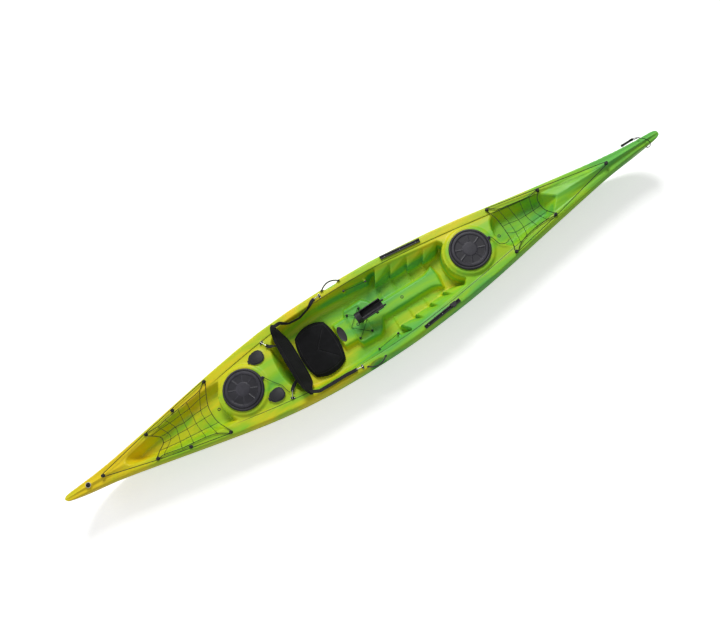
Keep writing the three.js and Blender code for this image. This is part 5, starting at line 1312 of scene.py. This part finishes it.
# %% Straps
WEB_WIDE, WEB_THICK = 25.0, 2.6
HOOK_WIRE, HOOK_LONG, HOOK_HIGH, HOOK_EYE = 3.4, 52.0, 13.0, 0.92
EYES = {"front": (-200.0, 298.0, 184.0), "rear": (-718.0, 226.0, -60.0)}
EYE_BASE, EYE_WIRE, EYE_SCREWS = 3.0, 5.0, 13.2
HOOK_SEAT = EYE_BASE + GAP + HOOK_WIRE / 2
HOOK_MIDDLE = HOOK_SEAT + HOOK_HIGH / 2
STRAP_ROUTES = {
    1: [[-318, 258, 282], [-400, 240, 264], [-490, 244, 274], [-538, 275, 302]],
    -1: [[-320, -290, 293], [-450, -288, 293], [-538, -287, 298]],
}
STRAP_TURNS = {
    1: [[0, -0.25, -1], [0, -0.25, -1], [0, -0.25, -1], [0, -0.8, -0.6]],
    -1: [[0, -1, 0], [0, -1, 0], [0, -1, 0]],
}


def eye_frame(which, side):
    """Where a pad eye stands and how it is turned."""
    x, y, turn = EYES[which]
    name = "port" if side > 0 else "starboard"
    return np.array([x, side * y, low(f"pad_eye_{which}_{name}")[2]]), math.radians(turn * side)


def hook_end(which, side, along):
    at, turn = eye_frame(which, side)
    return at + [math.cos(turn) * along, math.sin(turn) * along, HOOK_MIDDLE]


def band_mesh(points, across, wide, thick, step=5.0):
    """A band: a flattened ring of fourteen points at each step, set across the route, whose width
    direction is blended between the route's points. Rings bisect the route's bends."""
    points, across = np.asarray(points, float), np.asarray(across, float)
    along = np.concatenate([[0], np.cumsum(np.linalg.norm(np.diff(points, axis=0), axis=1))])
    count = int(along[-1] / step)
    at = np.linspace(0, along[-1], count + 1)
    path = np.stack([np.interp(at, along, points[:, k]) for k in range(3)], -1)
    for _ in range(6):
        path[1:-1] = path[1:-1] * 0.5 + (path[:-2] + path[2:]) * 0.25
    width = np.stack([np.interp(at, along, across[:, k]) for k in range(3)], -1)
    toward = np.gradient(path, axis=0)
    toward /= np.linalg.norm(toward, axis=1)[:, None]
    width -= toward * (width * toward).sum(1)[:, None]
    width /= np.linalg.norm(width, axis=1)[:, None]
    above = np.cross(toward, width)
    w, t = wide / 2, thick / 2
    section = np.array([
        (w - 1.0, t), (w * 0.4, t), (-w * 0.4, t), (-w + 1.0, t), (-w + 0.2, t * 0.6), (-w, 0),
        (-w + 0.2, -t * 0.6), (-w + 1.0, -t), (-w * 0.4, -t), (w * 0.4, -t), (w - 1.0, -t),
        (w - 0.2, -t * 0.6), (w, 0), (w - 0.2, t * 0.6),
    ])
    grid = path[:, None] + section[None, :, :1] * width[:, None] + section[None, :, 1:] * above[:, None]
    uv = np.stack(np.broadcast_arrays(at[:, None] * MM, section[None, :, 0] * MM * 40), -1)
    return grid, uv.reshape(-1, 2), path


def strap(which, side, route, across):
    """A strap from its hook along its route. It stays a hair inside its solid's thickness."""
    name = "port" if side > 0 else "starboard"
    wire = HOOK_LONG * HOOK_EYE
    at, turn = eye_frame(which, side)
    level = [-math.sin(turn), math.cos(turn), 0]
    points = [hook_end(which, side, wire - HOOK_WIRE * 2), hook_end(which, side, wire + WEB_WIDE / 2)] + route
    grid, uv, path = band_mesh(points, [level, level] + across, WEB_WIDE, WEB_THICK * 0.9)
    points = grid.reshape(-1, 3)
    faces = outwards(closed_faces(*grid.shape[:2]), points)
    made = mesh_object(f"{which}_strap_{name}", points, faces, uv)
    made.data.materials.append(WEBBING)
    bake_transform(made)
    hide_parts(f"strap_{which}_{name}")
    print(made.name, round(path_length(path) * MM, 3), "m")


SEWN_AT = 0.94
down = [math.sin(BACK_TILT), 0, -math.cos(BACK_TILT)]
for side in (1, -1):
    face = back_spread(SEWN_AT) / 2 + GAP * 2 + WEB_THICK / 2
    lay = [back_point(side * SEWN_AT, v, face).tolist() for v in (0.2, 0.75)]
    strap("front", side, STRAP_ROUTES[side] + lay, STRAP_TURNS[side] + [[0, -1, 0]] * 2)
    sewn = [
        back_point(side * s, 0.8, -back_spread(s) * 0.3 - GAP * 2 - WEB_THICK / 2).tolist()
        for s in (0.47, 0.38)
    ]
    strap("rear", side, sewn, [[d * side for d in down]] * 2)


# %% Snap hooks and pad eyes
def at_eye(points, which, side):
    """Points of an eye or hook, turned and moved to its place."""
    at, turn = eye_frame(which, side)
    c, s = math.cos(turn), math.sin(turn)
    spin = np.array([[c, -s, 0], [s, c, 0], [0, 0, 1]])
    return np.asarray(points, float) @ spin.T + at


nose = EYE_WIRE * 1.4
hook_end_x = HOOK_LONG * HOOK_EYE
hook_loop = [
    (-nose, 0, HOOK_MIDDLE), (-nose * 0.6, 0, HOOK_SEAT), (HOOK_LONG * 0.4, 0, HOOK_SEAT),
    (HOOK_LONG * 0.8, 0, HOOK_SEAT), (hook_end_x, 0, HOOK_SEAT + HOOK_HIGH * 0.25),
    (hook_end_x, 0, HOOK_SEAT + HOOK_HIGH * 0.75), (HOOK_LONG * 0.8, 0, HOOK_SEAT + HOOK_HIGH),
    (HOOK_LONG * 0.4, 0, HOOK_SEAT + HOOK_HIGH * 0.95), (-nose * 0.6, 0, HOOK_SEAT + HOOK_HIGH * 0.9),
]
for side, name in ((1, "port"), (-1, "starboard")):
    for which in EYES:
        ring = rounded_path(hook_loop, 1.5, closed=True)
        tube_piece(f"hook_{which}_{name}", at_eye(ring, which, side), HOOK_WIRE / 2, STEEL, True, 12,
                   stands_for=f"snap_hook_{which}_{name}", slot="steel_wire")
        softened(f"pad_eye_{which}_{name}", BLACK, 1.0)

# %% [markdown]
# ## Other deck fittings
# The rod tubes, caps, gear tracks, handles and rod holder are moulded plastic. Their solids have the
# right shape, so they are copied, with rounded edges.

# %% Fittings from their solids
for name in ("port", "starboard"):
    softened(f"rod_tube_{name}", BLACK, 0.8)
    softened(f"rod_cap_{name}", SOFT_RUBBER, 1.6, f"{name}_rod_cap")
    softened(f"gear_track_{name}", TRACK, 0.5)
    softened(f"side_handle_{name}", SOFT_RUBBER, 1.6, f"{name}_handle")
    for end in ("fore", "aft"):
        softened(f"tray_hook_{end}_{name}", BLACK, 0.5)
softened("track_mount", BLACK, 1.0, "gear_mount")
softened("track_knob", BLACK, 1.4, "gear_knob")
softened("rod_holder_base", BLACK, 0.8)
softened("rod_holder_swivel", BLACK, 0.8, "holder_swivel")
softened("rod_holder_cradle", BLACK, 1.4, "holder_cradle")
softened("bow_toggle", BLACK, 1.0)
softened("drain_plug", BLACK, 0.8, "stern_plug")

# %% Tray cord, paddle keepers and bow loop
TRAY_X, TRAY_Z, TRAY_LONG, TRAY_WIDE, TRAY_RIM = -60.0, 178.0, 138, 262, 10
CLEAT, CLEAT_NECK = 4.0, 9
tray_cord_z = TRAY_Z + CLEAT_NECK + LINE_WIDE / 2 + GAP * 2
hook_x, hook_y = TRAY_LONG / 2 - TRAY_RIM - 10, TRAY_WIDE / 2 - TRAY_RIM - 25
cleat_x = TRAY_LONG / 2 - TRAY_RIM - CLEAT * 0.6
cleat_reach = CLEAT + LINE_WIDE / 2 + GAP * 2


def round_cleat(x, y, start, end):
    """Points round a small post of the tray."""
    return round_post(TRAY_X + x, y, tray_cord_z, cleat_reach, start, end)


tray_paths = []
for end in (1, -1):
    turn = 0 if end > 0 else 180
    arcs = [
        round_cleat(end * hook_x, hook_y, turn - end * 45, turn + end * 125),
        round_cleat(-end * cleat_x, 0, turn + end * 125, turn + end * 235),
        round_cleat(end * hook_x, -hook_y, turn - end * 125, turn + end * 45),
    ]
    tray_paths.append(rounded_path(with_runs(*arcs), PATH_STEP))
for name, path in zip(("tray_cord_fore", "tray_cord_aft"), tray_paths):
    stands_for = "tray_bungee" if name == "tray_cord_fore" else ()
    made = tube_piece(name, path, LINE_WIDE / 2, LINE, slot="bungee_cord", stands_for=stands_for)

KEEPERS = ((-37.0, 246.0), (130.0, 222.0))
KEEPER_SEAT, KEEPER_HALF_HIGH, KEEPER_SAG = 237, 3.5, 5
for side, name in ((1, "port"), (-1, "starboard")):
    node = f"paddle_keeper_{name}"
    z = KEEPER_SEAT + GAP + KEEPER_HALF_HIGH
    share = np.linspace(0, 1, 25)[:, None]
    ends = [np.array([x, side * y, z]) for x, y in KEEPERS]
    sag = np.array([0, 0, KEEPER_SAG * 4]) * share * (1 - share)
    path = ends[0] + (ends[1] - ends[0]) * share - sag
    line = tube_piece(f"keeper_line_{name}", path, LINE_WIDE / 2, LINE, slot="bungee_cord", stands_for=node)
    for (x, y), tag in zip(KEEPERS, ("aft", "fore")):
        button = [(0, -3.5), (7.5, -3.5), (8.5, 0), (7, 3), (3, 3.5), (0, 3.5)]
        turned_piece(f"keeper_end_{tag}_{name}", button, (x, side * y, z), BLACK, 24, 0.8)

BOW_LOOP = [
    [2285, -41, 297], [2285, 41, 297], [2278, 49, 295], [2235, 58, 285], [2206, 60, 281], [2197, 60, 286],
    [2195, 60, 300], [2197, 60, 315], [2206, 60, 323], [2232, 54, 330], [2254, 40, 340], [2268, 22, 348],
    [2284, 2, 351], [2298, -20, 347], [2304, -38, 336], [2301, -51, 318], [2292, -50, 302],
]
loop = rounded_path(BOW_LOOP, 3.0, closed=True)
loop = np.clip(loop, low("bow_loop") + CORD_WIDE / 2, high("bow_loop") - CORD_WIDE / 2)
tube_piece("bow_loop_cord", loop, CORD_WIDE / 2, CORD, closed=True, stands_for="bow_loop", slot="bungee_cord")
print("bow loop", round(path_length(loop, True) * MM, 3), "m")


# %% [markdown]
# ## Small things
# Screws hold the frames, tracks and eyes. A bare oval plate sits on the console, a pale ring lies
# under the drain plug, and at each drain a black rim is painted shade, in place of the dark opening.

# %% Screws, plate and rings
SCREW = [(0, 0), (3.6, 0), (3.5, 0.8), (2.4, 1.7), (1.2, 1.9), (1.0, 1.0), (0, 1.0)]


def screws(name, places):
    """Turned screw heads, all in one mesh."""
    points, faces, start = [], [], 0
    own_points, own_faces = turned_mesh(SCREW, 12, 0.2)
    for place in places:
        points.append(own_points + np.asarray(place, float))
        faces += [[start + k for k in face] for face in own_faces]
        start += len(own_points)
    return piece(name, np.vstack(points), faces, STEEL, slot="steel_wire")


TRACK_X, TRACK_Y, TRACK_TURN, SCREW_PITCH, SCREW_SUNK = 456, 278, 7.2, 120, 7.4
track_z = high("gear_track_port")[2] - SCREW_SUNK
places = []
for side in (1, -1):
    turn = math.radians(-side * TRACK_TURN)
    for along in (-SCREW_PITCH, 0, SCREW_PITCH):
        # The starboard track's foremost screw is left out.
        if side < 0 and along == SCREW_PITCH:
            continue
        x, y = TRACK_X + math.cos(turn) * along, side * TRACK_Y + math.sin(turn) * along
        places.append((x, y, track_z))
screws("track_screws", places)
screws("eye_screws", [
    at_eye([(0, end * EYE_SCREWS, EYE_BASE)], which, side)[0] for side in (1, -1) for which in EYES for end in (1, -1)
])


PLATE_AT, PLATE_HALVES = (-207, 0, 178.1), (26.5, 61)
PLUG_X, PLUG_SEAL_UP = -2213, 13.5


def plate_mesh():
    """A bare oval plate: nested ellipses that rise to a rounded rim and fall to a flat field."""
    rings = [
        (1.0, 0.0), (1.0, 0.8), (0.985, 1.5), (0.95, 1.8), (0.9, 1.7), (0.86, 1.1), (0.8, 0.9), (0.4, 0.9),
        (0.02, 0.9),
    ]
    a = np.linspace(0, 2 * np.pi, 72, endpoint=False)
    half_x, half_y = PLATE_HALVES
    grid = np.array([[(half_x * r * math.cos(t), half_y * r * math.sin(t), z) for t in a] for r, z in rings])
    return grid.reshape(-1, 3), outwards(closed_faces(len(rings), 72), grid.reshape(-1, 3))


plate_points, plate_faces = plate_mesh()
piece("bare_badge_plate", plate_points + PLATE_AT, plate_faces, TRACK, slot="black_plastic")
plug_z = low("drain_plug")[2] + PLUG_SEAL_UP
ring = [(10.2, 0.02), (19.5, 0.02), (19.5, 0.25), (10.2, 0.25)]
turned_piece("drain_seal", ring, (PLUG_X, 0, plug_z), PALE, 48, 0.05)
# Each drain's black rim is painted shade: the shell has no opening there, and the black stands in for its dark
# inside.
rim = [(6.2, -8), (7.4, -8), (7.4, 0.1), (11.8, 0.1), (11.2, 1.0), (6.4, 1.1)]
for number, (x, z) in enumerate(DRAINS):
    turned_piece(f"drain_shade_rim_{number}", rim, (x, 0, z), BLACK, 32, 0.3, slot="black_plastic")

# %% [markdown]
# ## Floor and light
# The photograph has a white background and soft light from above. The floor catches a shadow, and
# through Is Camera Ray it looks white where nothing shades it.


# %% Floor
FLOOR_HALF, FLOOR_Z = 14, -0.0015


def stage_floor():
    """A wide pale floor just under the keel."""
    made, tree, shader = new_material("pale_floor", 0.9, 0.0, (0.84, 0.84, 0.84))
    where = object_vector(tree)
    paint(tree, shader, mix_colour(tree, noise(tree, where, 3.0), (0.84,) * 3, (0.86,) * 3))
    shader.inputs["Emission Color"].default_value = (1, 1, 1, 1)
    camera_sees = tree.nodes.new("ShaderNodeLightPath").outputs["Is Camera Ray"]
    tree.links.new(times(tree, camera_sees, 0.5), shader.inputs["Emission Strength"])
    mesh = bpy.data.meshes.new("floor")
    corners = ((-1, -1), (1, -1), (1, 1), (-1, 1))
    mesh.from_pydata([(x * FLOOR_HALF, y * FLOOR_HALF, FLOOR_Z) for x, y in corners], [], [(0, 1, 2, 3)])
    floor = bpy.data.objects.new("floor", mesh)
    bpy.context.scene.collection.objects.link(floor)
    mesh.materials.append(made)


LAMP_AIM = Vector((0, 0, 0.2))


def area_light(name, at, size, power):
    """A square lamp that faces the cockpit."""
    lamp = bpy.data.lights.new(name, "AREA")
    lamp.shape = "SQUARE"
    lamp.size = size
    lamp.energy = power
    made = bpy.data.objects.new(name, lamp)
    made.location = at
    made.rotation_euler = (Vector(at) - LAMP_AIM).to_track_quat("Z", "Y").to_euler()
    bpy.context.scene.collection.objects.link(made)


stage_floor()
area_light("key_lamp", (2.4, 6.4, 7.2), 3.6, 780)
area_light("fill_lamp", (-2.8, -3.0, 4.2), 4.0, 40)
area_light("end_lamp", (-4.2, 2.0, 2.6), 2.5, 25)
world = bpy.data.worlds.new("studio")
bpy.context.scene.world = world
world.use_nodes = True
tree = world.node_tree
for node in list(tree.nodes):
    tree.nodes.remove(node)
path = tree.nodes.new("ShaderNodeLightPath")
seen = math_node(tree, "MAXIMUM", path.outputs["Is Camera Ray"], path.outputs["Is Transmission Ray"])
soft_light, white = (tree.nodes.new("ShaderNodeBackground") for _ in range(2))
for background, strength in ((soft_light, 0.28), (white, 1.0)):
    background.inputs["Color"].default_value = (1, 1, 1, 1)
    background.inputs["Strength"].default_value = strength
choose = tree.nodes.new("ShaderNodeMixShader")
end = tree.nodes.new("ShaderNodeOutputWorld")
tree.links.new(seen, choose.inputs[0])
tree.links.new(soft_light.outputs[0], choose.inputs[1])
tree.links.new(white.outputs[0], choose.inputs[2])
tree.links.new(choose.outputs[0], end.inputs[0])
bpy.context.scene.view_settings.view_transform = "Standard"
